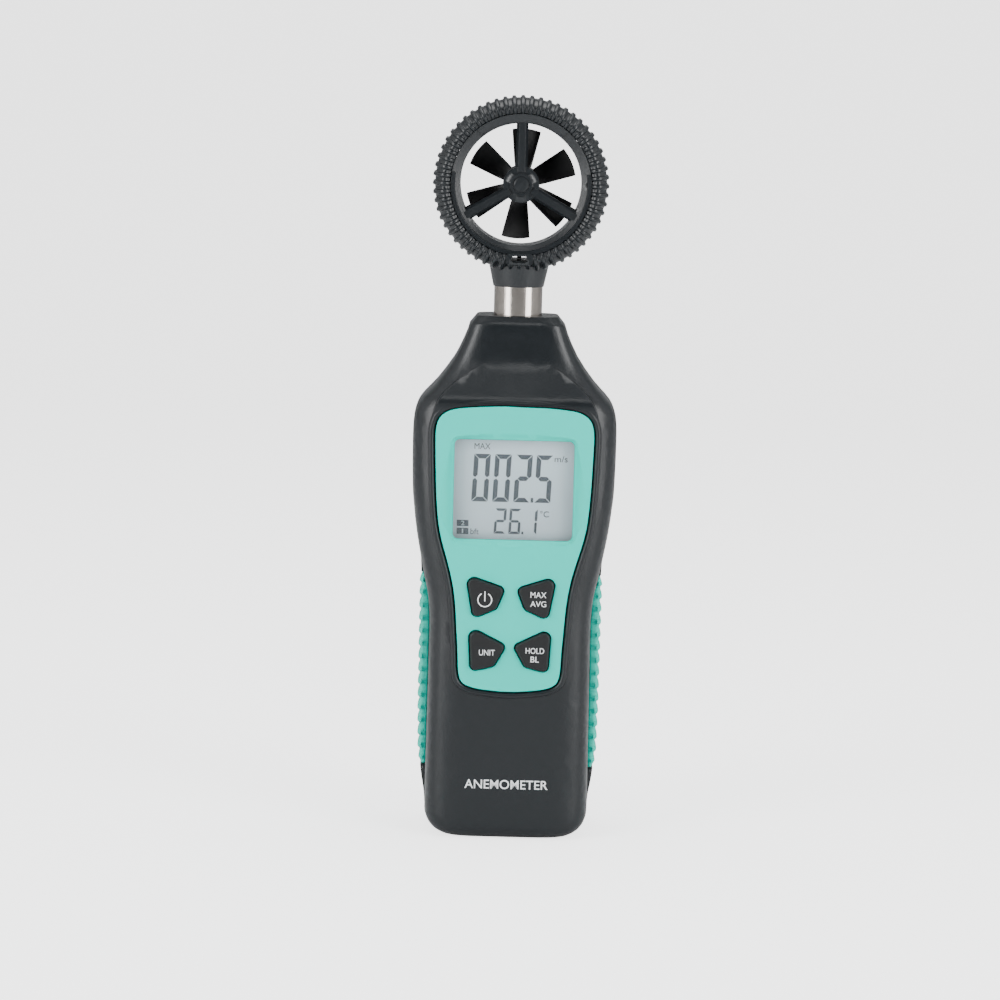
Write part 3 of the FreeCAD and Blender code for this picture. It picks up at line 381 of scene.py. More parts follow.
charcoal = (0.0075, 0.0098, 0.0118)
turquoise = (0.0, 0.66, 0.54)
finishes = {
    "case": makeFinish("charcoalPlastic", color=charcoal, rough=(0.29, 0.38), grainScale=2600.0,
                       grainDepth=0.000022, wearColor=(0.04, 0.045, 0.05), wear=0.4, edgeRadius=0.0004,
                       gloss=0.42),
    "head": makeFinish("headPlastic", color=charcoal, rough=(0.27, 0.37), grainScale=2600.0,
                       grainDepth=0.00002, wearColor=(0.04, 0.045, 0.05), wear=0.4, edgeRadius=0.0001,
                       gloss=0.5),
    "panel": makeFinish("turquoisePanel", color=turquoise, rough=(0.36, 0.44), grainScale=2200.0,
                        grainDepth=0.000012, patchAmount=0.05, wearColor=(0.08, 0.80, 0.62), wear=0.3,
                        edgeRadius=0.00035, gloss=0.12),
    "grip": makeFinish("turquoiseRubber", color=(0.001, 0.56, 0.43), rough=(0.42, 0.55),
                       grainScale=1800.0, grainDepth=0.00002, patchAmount=0.06,
                       wearColor=(0.06, 0.70, 0.52), gloss=0.4),
    "keys": makeFinish("keyRubber", color=(0.0065, 0.0072, 0.0080), rough=(0.46, 0.58),
                       grainScale=2400.0, grainDepth=0.000012, wearColor=(0.05, 0.05, 0.05), wear=0.35,
                       edgeRadius=0.0005, gloss=0.4),
    "neck": makeFinish("satinNickel", color=(0.50, 0.46, 0.42), rough=(0.13, 0.20), metallic=1.0,
                       grainScale=1400.0, grainDepth=0.000003, patchScale=900.0, patchAmount=0.25,
                       wear=0.0, edgeRadius=0.0002),
    "vane": makeFinish("bladeBlack", color=(0.0035, 0.0035, 0.004), rough=(0.30, 0.40),
                       grainDepth=0.00001, wearColor=(0.03, 0.03, 0.03), wear=0.4, edgeRadius=0.0001,
                       gloss=0.3),
    "bearing": makeFinish("plugPlastic", color=charcoal, rough=(0.34, 0.44), grainScale=2600.0,
                          grainDepth=0.00002, wearColor=(0.05, 0.055, 0.06), gloss=0.45),
    "board": makeFinish("boardGreen", color=(0.012, 0.16, 0.06), rough=(0.25, 0.40), grainScale=900.0,
                        coat=0.4, wearColor=(0.40, 0.36, 0.22), wear=0.6),
    "guide": makeFinish("lightGuide", color=(0.80, 0.84, 0.84), rough=(0.30, 0.45), wear=0.0),
    "holder": makeFinish("holderWhite", color=(0.66, 0.66, 0.63), rough=(0.40, 0.55)),
    "strips": makeFinish("stripRubber", color=(0.06, 0.06, 0.065), rough=(0.6, 0.7),
                         stretch=(30, 1, 1)),
    "pills": makeFinish("pillCarbon", color=(0.015, 0.015, 0.015), rough=(0.6, 0.75)),
    "mat": makeFinish("matSilicone", color=(0.28, 0.29, 0.30), rough=(0.45, 0.6)),
    "screws": makeFinish("screwZinc", color=(0.50, 0.50, 0.51), rough=(0.25, 0.40), metallic=1.0,
                         grainScale=900.0, wearColor=(0.75, 0.75, 0.75), wear=0.6),
    "chip": makeFinish("chipEpoxy", color=(0.015, 0.015, 0.017), rough=(0.45, 0.6)),
    "cells": makeFinish("cellWrap", color=(0.03, 0.035, 0.05), rough=(0.24, 0.30), coat=0.3,
                        patchAmount=0.04, grainDepth=0.000001, wear=0.0),
    "contacts": makeFinish("springSteel", color=(0.60, 0.60, 0.57), rough=(0.22, 0.35), metallic=1.0,
                           grainScale=900.0, grainDepth=0.000006),
    "seal": makeFinish("sealRubber", color=(0.02, 0.02, 0.02), rough=(0.5, 0.65)),
    "shaft": makeFinish("groundSteel", color=(0.66, 0.66, 0.66), rough=(0.12, 0.2), metallic=1.0,
                        wear=0.0, grainDepth=0.000003),
    "emitter": makeFinish("emitterEpoxy", color=(0.06, 0.03, 0.08), rough=(0.08, 0.15),
                          grainDepth=0.000003),
    "detector": makeFinish("detectorEpoxy", color=(0.02, 0.02, 0.02), rough=(0.1, 0.18),
                           grainDepth=0.000003),
    "thermistor": makeFinish("beadGlaze", color=(0.01, 0.03, 0.20), rough=(0.08, 0.16),
                             grainDepth=0.000003, coat=0.6),
    "lead": makeFinish("leadSheath", color=(0.07, 0.07, 0.07), rough=(0.5, 0.6)),
    "socket": makeFinish("socketNylon", color=(0.74, 0.70, 0.58), rough=(0.4, 0.55)),
    "print": makeFinish("whiteInk", color=(0.88, 0.90, 0.91), rough=(0.45, 0.6), patchScale=900.0,
                        patchAmount=0.10, grainDepth=0.000004, wear=0.0, edgeRadius=0.00005),
    "figures": makeFinish("crystalInk", color=(0.045, 0.058, 0.072), rough=(0.35, 0.5),
                          patchScale=400.0, patchAmount=0.2, grainDepth=0.000003, wear=0.0,
                          edgeRadius=0.00005),
}


def makeCrystal():
    # the display cell: pale grey-blue, with painted light that makes it a little brighter towards its top
    # edge and painted shade towards its bottom
    material = makeFinish("crystalCell", color=(0.66, 0.78, 0.84), rough=(0.30, 0.42), patchScale=14.0,
                          patchAmount=0.10, grainScale=1400.0, grainDepth=0.000005, wear=0.0)
    tree = material.node_tree
    shader = tree.nodes["Principled BSDF"]
    low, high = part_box("lcd_glass")
    coords = addNode(tree, "ShaderNodeTexCoord").outputs["Object"]
    height = addNode(tree, "ShaderNodeSeparateXYZ", {0: coords}).outputs["Z"]
    # painted light and shade: the cell's colour is scaled from 0.86 at its bottom to 1.08 at its top
    fade = remap(tree, height, low[2], high[2], 0.86, 1.08)
    source = shader.inputs["Base Color"].links[0].from_socket
    paintedLightAndShade = addNode(tree, "ShaderNodeVectorMath", {0: source, "Scale": fade}, operation="SCALE")
    tree.links.new(paintedLightAndShade.outputs[0], shader.inputs["Base Color"])
    return material


def makeClear():
    # the clear window: nearly invisible from the front, with a light haze
    material = bpy.data.materials.new("clearAcrylic")
    material.use_nodes = True
    tree = material.node_tree
    shader = tree.nodes["Principled BSDF"]
    coords = addNode(tree, "ShaderNodeTexCoord").outputs["Object"]
    feeds = {"Vector": coords, "Scale": 45.0, "Detail": 6.0}
    haze = addNode(tree, "ShaderNodeTexNoise", feeds).outputs[0]
    facing = addNode(tree, "ShaderNodeLayerWeight", {"Blend": 0.25}).outputs["Fresnel"]
    tree.links.new(remap(tree, facing, 0.0, 1.0, 0.02, 0.55, "LINEAR"), shader.inputs["Alpha"])
    tree.links.new(remap(tree, haze, 0.3, 0.7, 0.03, 0.09), shader.inputs["Roughness"])
    shader.inputs["Base Color"].default_value = (0.80, 0.88, 0.90, 1)
    return material


finishes["lcd"] = makeCrystal()
finishes["window"] = makeClear()
print("finishes ready:", len(finishes))


# the frame's nodes, finished
# depths of the sunk and the full frame round the panel, and the heights between which one becomes the other
sunkFrame = {"lowered": -13.9, "full": -14.5, "fadeLow": 98.0, "fadeHigh": 103.0}


def frameCuts(style):
    # the planes the frame is sunk to, and the heights where they meet, so that the sunk edge is clean
    low = Vector((0, style["lowered"], style["fadeLow"])) * mm
    high = Vector((0, style["full"], style["fadeHigh"])) * mm
    slope = (high - low).cross(Vector((1, 0, 0))).normalized()
    return ((low, (0, 0, 1)), (high, (0, 0, 1)), (low, (0, 1, 0)), (low, slope))


def lowerFrame(bm, style):
    # sinks the square frame round the panel, except along its top, to make room for the rounded bead
    run, rise = style["fadeHigh"] - style["fadeLow"], style["full"] - style["lowered"]
    for v in bm.verts:
        fade = min(1.0, max(0.0, (v.co.z / mm - style["fadeLow"]) / run))
        v.co.y = max(v.co.y, (style["lowered"] + rise * fade) * mm)


polishStyle = {
    "weld": 0.002 * mm, "thinnest": 0.0005 * mm, "flatness": 60,
    "sharpAngle": 28.0, "fineAngle": 16.0, "fineNodes": ("front_case", "front_guard", "rear_guard"),
}

printStyle = {
    "proud": 0.03 * mm, "thickness": 0.04 * mm,     # the ink stands this proud, and is this thick
    "keys": ("power_key", "max_avg_key", "unit_key", "hold_key"),
}


def lowerKey(bm, node, style):
    # takes the ink's height off the key's front, so that the printed key keeps its own size
    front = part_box(node)[0][1] + style["proud"]
    for v in bm.verts:
        v.co.y = max(v.co.y, front)


def polishedCopy(node, style):
    # a welded, smoothly shaded copy of a frame node, sharp only at its real edges
    mesh = frame["nodes"][node].data.copy()
    bm = bmesh.new()
    bm.from_mesh(mesh)
    if node == "front_case":
        for spot, normal in frameCuts(sunkFrame):
            everything = [*bm.verts, *bm.edges, *bm.faces]
            bmesh.ops.bisect_plane(bm, geom=everything, plane_co=spot, plane_no=normal)
        lowerFrame(bm, sunkFrame)
    if node in printStyle["keys"]:
        lowerKey(bm, node, printStyle)
    bmesh.ops.remove_doubles(bm, verts=bm.verts, dist=style["weld"])
    bmesh.ops.dissolve_degenerate(bm, edges=bm.edges, dist=style["thinnest"])
    bm.to_mesh(mesh)
    bm.free()
    angle = style["fineAngle"] if node in style["fineNodes"] else style["sharpAngle"]
    mesh = evened(shaded(mesh, angle), style)
    adopt(meshObject(node + "_finished", mesh, finishes[slotOf[node]]), node)


reshaped = {"ring_cover_front", "ring_cover_rear", "left_grip", "right_grip"}
for node in sorted(frame["nodes"]):
    if node not in reshaped:
        polishedCopy(node, polishStyle)
print("frame nodes polished")


# ribbed ring covers
ringStyle = {
    "ribs": 60, "stepsPerRib": 12, "ribHeight": 0.525 * mm,
    "ribStart": 16.25 * mm, "ribFull": 16.9 * mm,       # radii between which the ribs rise
    "seam": (0.15 * mm, 0.5 * mm),          # the ribs die out towards the seam between the covers
    "sharpAngle": 40, "stepsPerSpan": 3,
    # (radius, depth) from the seam over the rim and into the air way, then back inside
    "run": ((20.05, 0.25), (20.1, 2.2), (20.1, 4.2), (19.9, 5.3), (19.35, 6.3), (18.7, 7.15),
            (18.1, 7.55), (17.5, 7.5), (16.95, 7.1), (16.55, 6.85), (16.45, 6.5)),
    "back": ((16.45, 0.05), (19.9, 0.05)),
}


def pushed(tree, given, height):
    # the geometry with its points moved along their normals by the height
    normal = addNode(tree, "GeometryNodeInputNormal").outputs[0]
    push = addNode(tree, "ShaderNodeVectorMath", {0: normal, "Scale": height}, operation="SCALE")
    feeds = {"Geometry": given["Geometry"], "Offset": push.outputs[0]}
    return addNode(tree, "GeometryNodeSetPosition", feeds).outputs[0]


def smoothRun(points, steps):
    # points along the rounded line through the given ones
    ends = [points[0], *points, points[-1]]
    made = []
    for a, b, c, d in zip(ends, ends[1:], ends[2:], ends[3:]):
        for i in range(steps):
            t = i / steps
            made.append(tuple(
                0.5 * (2 * q + (r - p) * t + (2 * p - 5 * q + 4 * r - s) * t * t
                       + (3 * q - p - 3 * r + s) * t ** 3) for p, q, r, s in zip(a, b, c, d)))
    return made + [points[-1]]


def makeRibNodes():
    # raises ribs across a ring that runs round Y, by pushing its skin along its normals
    tree, given, out = newGroup("ribbedRingNodes", "GeometryNodeTree", [
        ("Geometry", "Geometry"), ("Centre", "Vector"), ("Ribs", "Float", 60.0),
        ("Rib Height", "Float", 0.0005), ("Rib Start", "Float", 0.016), ("Rib Full", "Float", 0.017),
        ("Seam Start", "Float", 0.00015), ("Seam Full", "Float", 0.0005), ("Material", "Material")],
        [("Geometry", "Geometry")])
    place = addNode(tree, "GeometryNodeInputPosition").outputs[0]
    away = addNode(tree, "ShaderNodeVectorMath", {0: place, 1: given["Centre"]}, operation="SUBTRACT")
    parts = addNode(tree, "ShaderNodeSeparateXYZ", {0: away.outputs[0]}).outputs
    angle = calc(tree, "ARCTAN2", parts["Z"], parts["X"])
    rib = remap(tree, calc(tree, "COSINE", calc(tree, "MULTIPLY", angle, given["Ribs"])), -0.25, 0.7)
    flat = addNode(tree, "ShaderNodeCombineXYZ", {0: parts["X"], 2: parts["Z"]}).outputs[0]
    radius = addNode(tree, "ShaderNodeVectorMath", {0: flat}, operation="LENGTH").outputs["Value"]
    inner = remap(tree, radius, given["Rib Start"], given["Rib Full"])
    seam = remap(tree, calc(tree, "ABSOLUTE", parts["Y"]), given["Seam Start"], given["Seam Full"])
    height = calc(tree, "MULTIPLY", calc(tree, "MULTIPLY", rib, inner),
                  calc(tree, "MULTIPLY", seam, given["Rib Height"]))
    return closeTree(tree, given, out, pushed(tree, given, height))


def skinBetween(bm, here, after):
    # faces from one closed row of points to the next
    for j in range(len(here)):
        k = (j + 1) % len(here)
        bm.faces.new((here[j], here[k], after[k], after[j]))


def lathe(outline, centre, steps, side):
    # turns a closed (radius, depth) outline round the vane's axis
    bm = bmesh.new()
    rings = []
    for i in range(steps):
        a = 2 * math.pi * i / steps
        spots = [centre + Vector((r * math.cos(a), side * d, r * math.sin(a))) for r, d in outline]
        rings.append([bm.verts.new(spot) for spot in spots])
    for here, after in zip(rings, rings[1:] + rings[:1]):
        skinBetween(bm, here, after)
    bmesh.ops.recalc_face_normals(bm, faces=bm.faces)
    return meshFrom(bm, "lathe")


def roundedBox(centre, size, corner, steps=4):
    # a block with its four long edges rounded, running along Y
    half = Vector(size) / 2
    corners = []
    for sx, sz, start in ((1, 1, 0), (-1, 1, 90), (-1, -1, 180), (1, -1, 270)):
        for i in range(steps + 1):
            a = math.radians(start + 90 * i / steps)
            corners.append((sx * (half.x - corner) + corner * math.cos(a),
                            sz * (half.z - corner) + corner * math.sin(a)))
    bm = bmesh.new()
    near = [bm.verts.new(centre + Vector((x, -half.y, z))) for x, z in corners]
    far = [bm.verts.new(centre + Vector((x, half.y, z))) for x, z in corners]
    bm.faces.new(near)
    bm.faces.new(far[::-1])
    skinBetween(bm, near, far)
    bmesh.ops.recalc_face_normals(bm, faces=bm.faces)
    return meshFrom(bm, "block")


# the slot under the air way, and the raised rim round it
slotStyle = {
    "drop": 17.3 * mm, "width": 3.7 * mm, "height": 1.5 * mm, "corner": 0.6 * mm, "through": 30 * mm,
    "bossWidth": 6.4 * mm, "bossHeight": 2.7 * mm, "bossCorner": 0.9 * mm,
    "bossDepth": (5.6 * mm, 7.95 * mm),
}


def makeRing(style, slot):
    tree = makeRibNodes()
    run = smoothRun(style["run"], style["stepsPerSpan"]) + list(style["back"])
    outline = [(r * mm, d * mm) for r, d in run]
    steps = style["ribs"] * style["stepsPerRib"]
    gap = ringCentre - Vector((0, 0, slot["drop"]))
    low, high = slot["bossDepth"]
    for node, side in (("ring_cover_front", -1), ("ring_cover_rear", 1)):
        mesh = applied(lathe(outline, ringCentre, steps, side), tree, {
            "Centre": ringCentre, "Ribs": float(style["ribs"]), "Rib Height": style["ribHeight"],
            "Rib Start": style["ribStart"], "Rib Full": style["ribFull"],
            "Seam Start": style["seam"][0], "Seam Full": style["seam"][1],
            "Material": finishes["head"]})
        boss = roundedBox(gap + Vector((0, side * (low + high) / 2, 0)),
                          (slot["bossWidth"], high - low, slot["bossHeight"]), slot["bossCorner"])
        hole = roundedBox(gap, (slot["width"], slot["through"], slot["height"]), slot["corner"])
        mesh = combined(combined(mesh, boss, "UNION"), hole, "DIFFERENCE")
        mesh = shaded(mesh, style["sharpAngle"])
        adopt(meshObject(node + "_ribbed", mesh, finishes["head"]), node)
    print("ring covers ribbed")


makeRing(ringStyle, slotStyle)


# rounded bead round the face panel
beadStyle = {
    "middle": 70.0, "slice": -13.6, "rays": 480, "far": 60 * mm,  # where the panel's edge is looked for
    "offset": 1.02, "depth": -13.82, "radius": 0.68, "step": 0.6, "sides": 16,
}


def makeBeadNodes():
    tree, given, out = newGroup("beadNodes", "GeometryNodeTree", [
        ("Geometry", "Geometry"), ("Radius", "Float", 0.0007), ("Step", "Float", 0.0006),
        ("Sides", "Int", 16), ("Material", "Material")], [("Geometry", "Geometry")])
    path = addNode(tree, "GeometryNodeMeshToCurve", {"Mesh": given["Geometry"]}).outputs[0]
    even = addNode(tree, "GeometryNodeResampleCurve", {"Curve": path, "Length": given["Step"]},
                   mode="LENGTH").outputs[0]
    circle = addNode(tree, "GeometryNodeCurvePrimitiveCircle", {"Resolution": given["Sides"],
                                                                "Radius": given["Radius"]}).outputs[0]
    swept = addNode(tree, "GeometryNodeCurveToMesh", {"Curve": even, "Profile Curve": circle})
    return closeTree(tree, given, out, swept.outputs[0])


def makeBead(style):
    panel = skinOf("face_panel")
    middle = Vector((0, style["slice"], style["middle"])) * mm
    bm = bmesh.new()
    loop = []
    for i in range(style["rays"]):
        a = 2 * math.pi * i / style["rays"]
        outward = Vector((math.cos(a), 0, math.sin(a)))
        spot, normal = panel.ray_cast(middle + outward * style["far"], -outward)[:2]
        spot += normal * style["offset"] * mm
        loop.append(bm.verts.new((spot.x, style["depth"] * mm, spot.z)))
    for here, after in zip(loop, loop[1:] + loop[:1]):
        bm.edges.new((here, after))
    mesh = applied(meshFrom(bm, "panelLoop"), makeBeadNodes(), {
        "Radius": style["radius"] * mm, "Step": style["step"] * mm, "Sides": style["sides"],
        "Material": finishes["case"]})
    mesh.shade_smooth()
    attach(meshObject("panel_bead", mesh, finishes["case"]), "front_case")
    print("panel bead made")


makeBead(beadStyle)


# side grips
gripStyle = {
    "low": 15.1, "high": 61.7, "rows": 300, "pitch": 3.1, "ribHeight": 0.42, "ribShare": 0.25,
    "outer": ((12, 20.4), (20, 21.1), (30, 21.3), (60, 21.4), (66, 21.7)),
    "inner": ((12, 19.55), (30, 19.45), (50, 19.3), (56, 19.6), (60, 20.3), (66, 21.5)),
    "depth": 14.5, "power": 5, "front": -0.95, "far": 10.45, "thickness": 1.5, "round": 0.8,
    "endRound": 0.9, "frontSteps": 6, "sideSteps": 14, "sharpAngle": 50,
    "fadeIn": (0.8 * mm, 2.0 * mm),         # the ribs die out towards the grip's ends
    "skin": 6.0 * mm,                       # how squarely a face has to look away from Z to be ribbed
}


def along(table, x):
    # value at x on the straight runs between (x, value) pairs
    for a, b in zip(table, table[1:]):
        if x <= b[0]:
            return a[1] + (b[1] - a[1]) * (x - a[0]) / (b[0] - a[0])


def gripSection(style, z, shrink):
    # closed (x, y) outline of one grip at height z, starting at its inner front edge
    wide, narrow, r = along(style["outer"], z) - shrink, along(style["inner"], z), style["round"]
    front, far = style["front"] + shrink, style["far"] - shrink

    def side(y):
        return wide * (1 - max(0.0, y / style["depth"]) ** style["power"]) ** (1 / style["power"])

    outline = [(narrow, front + 0.15), (narrow + 0.3, front)]
    for i in range(style["frontSteps"] + 1):
        a = math.pi / 2 * i / style["frontSteps"]
        outline.append((wide - r + r * math.sin(a), front + r - r * math.cos(a)))
    for i in range(style["sideSteps"]):
        y = front + r + (far - front - 2 * r) * (i + 1) / style["sideSteps"]
        outline.append((side(y), y))
    outline += [(side(far) - 0.35, far - 0.15), (side(far) - 1.0, far)]
    outline += [(side(y) - style["thickness"], y) for y in (far - 0.6, 6.0, 3.0, 0.6)]
    return [Vector((x, y, z)) * mm for x, y in outline]


def makeRibStripNodes():
    # raises ribs across a strip that runs up Z, by pushing its outer skin along its normals
    tree, given, out = newGroup("ribbedStripNodes", "GeometryNodeTree", [
        ("Geometry", "Geometry"), ("Pitch", "Float", 0.003), ("Rib Height", "Float", 0.0004),
        ("Rib Share", "Float", 0.2), ("Low", "Float", 0.015), ("High", "Float", 0.06),
        ("Fade Start", "Float", 0.0008), ("Fade Full", "Float", 0.002), ("Skin", "Float", 0.006),
        ("Material", "Material")], [("Geometry", "Geometry")])
    spot = addNode(tree, "GeometryNodeInputPosition").outputs[0]
    z = addNode(tree, "ShaderNodeSeparateXYZ", {0: spot}).outputs["Z"]
    middle = calc(tree, "MULTIPLY", calc(tree, "ADD", given["Low"], given["High"]), 0.5)
    steps = calc(tree, "DIVIDE", calc(tree, "SUBTRACT", z, middle), given["Pitch"])
    wave = calc(tree, "COSINE", calc(tree, "MULTIPLY", steps, 2 * math.pi))
    rib = remap(tree, wave, calc(tree, "SUBTRACT", 0.0, given["Rib Share"]), 0.9)
    fromEnd = calc(tree, "MINIMUM", calc(tree, "SUBTRACT", given["High"], z),
                   calc(tree, "SUBTRACT", z, given["Low"]))
    inside = remap(tree, fromEnd, given["Fade Start"], given["Fade Full"])
    normal = addNode(tree, "GeometryNodeInputNormal").outputs[0]
    outward = addNode(tree, "ShaderNodeVectorMath", {0: normal, 1: spot}, operation="DOT_PRODUCT")
    skin = remap(tree, outward.outputs["Value"], 0.0, given["Skin"])
    height = calc(tree, "MULTIPLY", calc(tree, "MULTIPLY", rib, inside),
                  calc(tree, "MULTIPLY", skin, given["Rib Height"]))
    return closeTree(tree, given, out, pushed(tree, given, height))


def makeGrips(style):
    tree = makeRibStripNodes()
    low, high, endRound = style["low"], style["high"], style["endRound"]
    for node, side in (("left_grip", -1), ("right_grip", 1)):
        bm = bmesh.new()
        rings = []
        for i in range(style["rows"] + 1):
            z = low + (high - low) * i / style["rows"]
            fromEnd = min(z - low, high - z)
            shrink = endRound * (1 - math.sqrt(1 - max(0.0, 1 - fromEnd / endRound) ** 2))
            section = gripSection(style, z, shrink)
            rings.append([bm.verts.new((side * p.x, p.y, p.z)) for p in section])
        for here, after in zip(rings, rings[1:]):
            skinBetween(bm, here, after)
        bm.faces.new(rings[0])
        bm.faces.new(rings[-1])
        bmesh.ops.recalc_face_normals(bm, faces=bm.faces)
        mesh = applied(meshFrom(bm, node), tree, {
            "Pitch": style["pitch"] * mm, "Rib Height": style["ribHeight"] * mm,
            "Rib Share": style["ribShare"], "Low": low * mm, "High": high * mm,
            "Fade Start": style["fadeIn"][0], "Fade Full": style["fadeIn"][1], "Skin": style["skin"],
            "Material": finishes["grip"]})
        mesh = shaded(mesh, style["sharpAngle"])
        adopt(meshObject(node + "_ribbed", mesh, finishes["grip"]), node)
    print("grips ribbed")


makeGrips(gripStyle)


# figures and legends
def extrudedFaces(outlines, front, thickness):
    # flat (x, z) outlines, given a thickness backwards from the front plane
    bm = bmesh.new()
    for outline in outlines:
        near = [bm.verts.new((x, front, z)) for x, z in outline]
        far = [bm.verts.new((x, front + thickness, z)) for x, z in outline]
        bm.faces.new(near)
        bm.faces.new(far[::-1])
        skinBetween(bm, near, far)
    bmesh.ops.recalc_face_normals(bm, faces=bm.faces)
    return meshFrom(bm, "outlines")


barsOf = {"0": "abcdef", "1": "bc", "2": "abged", "5": "afgcd", "6": "afgedc"}


def digitBars(digit, x, z, width, height, bar, slant):
    # the lit bars of a seven-bar figure, mitred at their ends
    gap, h, w, mid = bar * 0.10, height, width, height / 2
    shapes = {
        "a": [(gap, h), (w - gap, h), (w - bar - gap, h - bar), (bar + gap, h - bar)],
        "d": [(bar + gap, bar), (w - bar - gap, bar), (w - gap, 0), (gap, 0)],
        "g": [(gap + bar / 2, mid), (bar + gap, mid + bar / 2), (w - bar - gap, mid + bar / 2),
              (w - gap - bar / 2, mid), (w - bar - gap, mid - bar / 2), (bar + gap, mid - bar / 2)],
        "f": [(0, h - gap), (bar, h - bar - gap), (bar, mid + bar / 2 + gap), (bar / 2, mid + gap),
              (0, mid + bar / 2)],
        "e": [(0, gap), (0, mid - bar / 2), (bar / 2, mid - gap), (bar, mid - bar / 2 - gap),
              (bar, bar + gap)],
    }
    shapes["b"] = [(w - p, q) for p, q in shapes["f"]]
    shapes["c"] = [(w - p, q) for p, q in shapes["e"]]
    return [[(x + p + slant * q / h, z + q) for p, q in shapes[s]] for s in barsOf[digit]]


def textMesh(words, left, right, low, high, front, thickness, weight=0.0, half=0.02):
    # lettering stretched to fill the given box, in millimetres, on the front of the object
    curve = bpy.data.curves.new("words", "FONT")
    curve.body, curve.extrude, curve.offset = words, half, weight
    holder = bpy.data.objects.new("words", curve)
    bpy.context.scene.collection.objects.link(holder)
    mesh = plainMesh(holder)
    xs, ys = [v.co.x for v in mesh.vertices], [v.co.y for v in mesh.vertices]
    left, right, low, high = left * mm, right * mm, low * mm, high * mm
    startX, startY = min(xs), min(ys)
    scaleX, scaleY = (right - left) / (max(xs) - startX), (high - low) / (max(ys) - startY)
    for v in mesh.vertices:
        x, y, z = v.co
        v.co = (left + (x - startX) * scaleX, front + (half - z) / (2 * half) * thickness,
                low + (y - startY) * scaleY)
    mesh.update()
    return mesh


def joinMeshes(meshes, name):
    bm = bmesh.new()
    for mesh in meshes:
        bm.from_mesh(mesh)
        bpy.data.meshes.remove(mesh)
    bmesh.ops.remove_doubles(bm, verts=bm.verts, dist=0.001 * mm)
    bmesh.ops.recalc_face_normals(bm, faces=bm.faces)
    return meshFrom(bm, name)


displayStyle = {
    "inkDepth": 0.06, "sunk": 0.01, "numberMargin": 0.22,
    "large": {"digits": "0025", "lefts": (-9.86, -4.93, 0, 4.83), "low": 80.6, "width": 3.85,
              "height": 11.24, "bar": 1.08, "slant": 0.5, "point": (4.09, 80.6, 0.6, 1.1)},
    "small": {"digits": "261", "lefts": (-4.44, -0.99, 2.86), "low": 73.05, "width": 2.71,
              "height": 6.01, "bar": 0.60, "slant": 0.3, "point": (2.12, 73.05, 0.42, 0.6)},
    # words and boxes: left, right, low and high edges, in millimetres
    "words": (("MAX", -9.37, -5.62, 92.97, 94.35), ("m/s", 9.46, 12.52, 90.31, 91.79),
              ("°C", 6.41, 8.48, 77.19, 78.67), ("bft", -9.86, -7.89, 72.76, 74.14)),
    "boxes": ((-13.11, -10.35, 74.63, 76.11, "2", 0.42), (-13.11, -10.35, 72.76, 74.24, "1", 0.15)),
}


def makeFigures(style):
    front = (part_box("lcd_glass")[0][1] / mm - style["inkDepth"]) * mm
    thick = (style["inkDepth"] - style["sunk"]) * mm
    outlines = []
    for size in ("large", "small"):
        part = style[size]
        for digit, left in zip(part["digits"], part["lefts"]):
            outlines += digitBars(digit, left, part["low"], part["width"], part["height"], part["bar"],
                                  part["slant"])
        x, z, wide, tall = part["point"]
        outlines.append([(x, z), (x + wide, z), (x + wide, z + tall), (x, z + tall)])
    outlines = [[(x * mm, z * mm) for x, z in o] for o in outlines]
    meshes = [extrudedFaces(outlines, front, thick)]
    meshes += [textMesh(*row, front, thick) for row in style["words"]]
    for left, right, low, high, number, half in style["boxes"]:
        block = [(left, low), (right, low), (right, high), (left, high)]
        plate = extrudedFaces([[(x * mm, z * mm) for x, z in block]], front, thick)
        middle, margin = (left + right) / 2, style["numberMargin"]
        figure = textMesh(number, middle - half, middle + half, low + margin, high - margin,
                          front - thick, 3 * thick)
        meshes.append(combined(plate, joinMeshes([figure], "figure"), "DIFFERENCE"))
    figures = joinMeshes(meshes, "display_figures")
    attach(meshObject("display_figures", figures, finishes["figures"]), "lcd_glass")
    print("display figures made")


makeFigures(displayStyle)

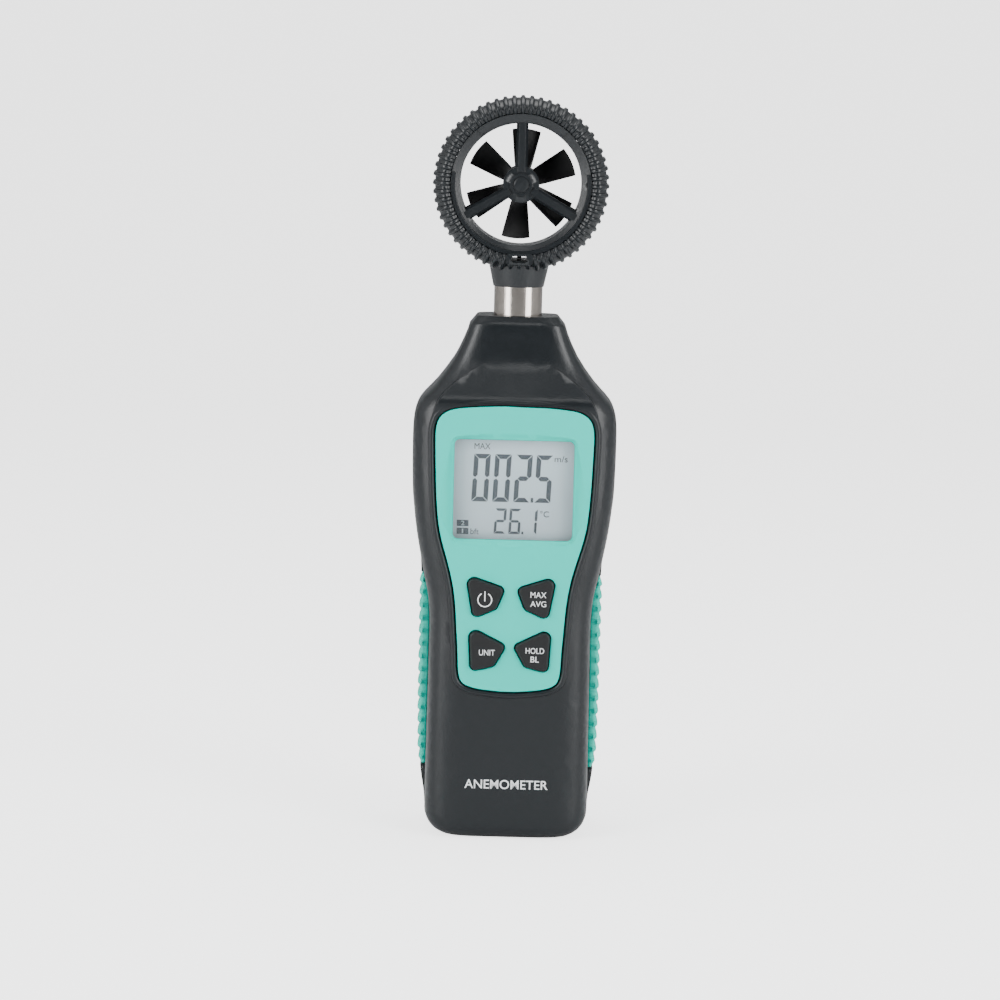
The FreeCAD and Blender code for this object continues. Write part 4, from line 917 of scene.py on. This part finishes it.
legendStyle = {
    "words": {
        "max_avg_key": (("MAX", 4.61, 8.33, 58.75, 60.12), ("AVG", 4.61, 8.33, 56.59, 57.97)),
        "unit_key": (("UNIT", -7.15, -3.43, 44.74, 46.11),),
        "hold_key": (("HOLD", 3.82, 8.13, 45.42, 46.8), ("BL", 5, 6.96, 43.37, 44.74)),
    },
    "power": {"x": -6.08, "z": 57.97, "radius": 1.75, "line": 0.27, "gapDegrees": 56, "steps": 40,
              "strokeLow": -0.2, "strokeHigh": 1.15},
    "title": ("ANEMOMETER", -9.85, 9.85, 12.4, 14.6), "titleWeight": 0.008, "inFront": -30,
}


def makeLegends(style):
    thick = printStyle["thickness"]
    for node, rows in style["words"].items():
        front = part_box(node)[0][1]
        words = joinMeshes([textMesh(*row, front, thick) for row in rows], node + "_legend")
        attach(meshObject(node + "_legend", words, finishes["print"]), node)
    power = style["power"]
    outer, inner, half = power["radius"], power["radius"] - power["line"], power["line"] / 2
    steps = power["steps"]
    start, end = 90 + power["gapDegrees"] / 2, 450 - power["gapDegrees"] / 2
    angles = [math.radians(start + (end - start) * i / steps) for i in range(steps + 1)]
    arc = [(outer * math.cos(t), outer * math.sin(t)) for t in angles]
    arc += [(inner * math.cos(t), inner * math.sin(t)) for t in angles[::-1]]
    low, high = outer * power["strokeLow"], outer * power["strokeHigh"]
    stroke = [(-half, low), (half, low), (half, high), (-half, high)]
    outlines = [[((power["x"] + x) * mm, (power["z"] + z) * mm) for x, z in o] for o in (arc, stroke)]
    sign = extrudedFaces(outlines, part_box("power_key")[0][1], thick)
    attach(meshObject("power_key_legend", sign, finishes["print"]), "power_key")
    # the title follows the case's curved front
    title = joinMeshes([textMesh(*style["title"], 0.0, thick, style["titleWeight"])], "case_title")
    skin = skinOf("front_case")
    for v in title.vertices:
        spot = skin.ray_cast((v.co.x, style["inFront"] * mm, v.co.z), (0, 1, 0))[0]
        v.co.y += spot.y - printStyle["proud"]
    attach(meshObject("case_title", title, finishes["print"]), "front_case")
    print("legends made")


makeLegends(legendStyle)
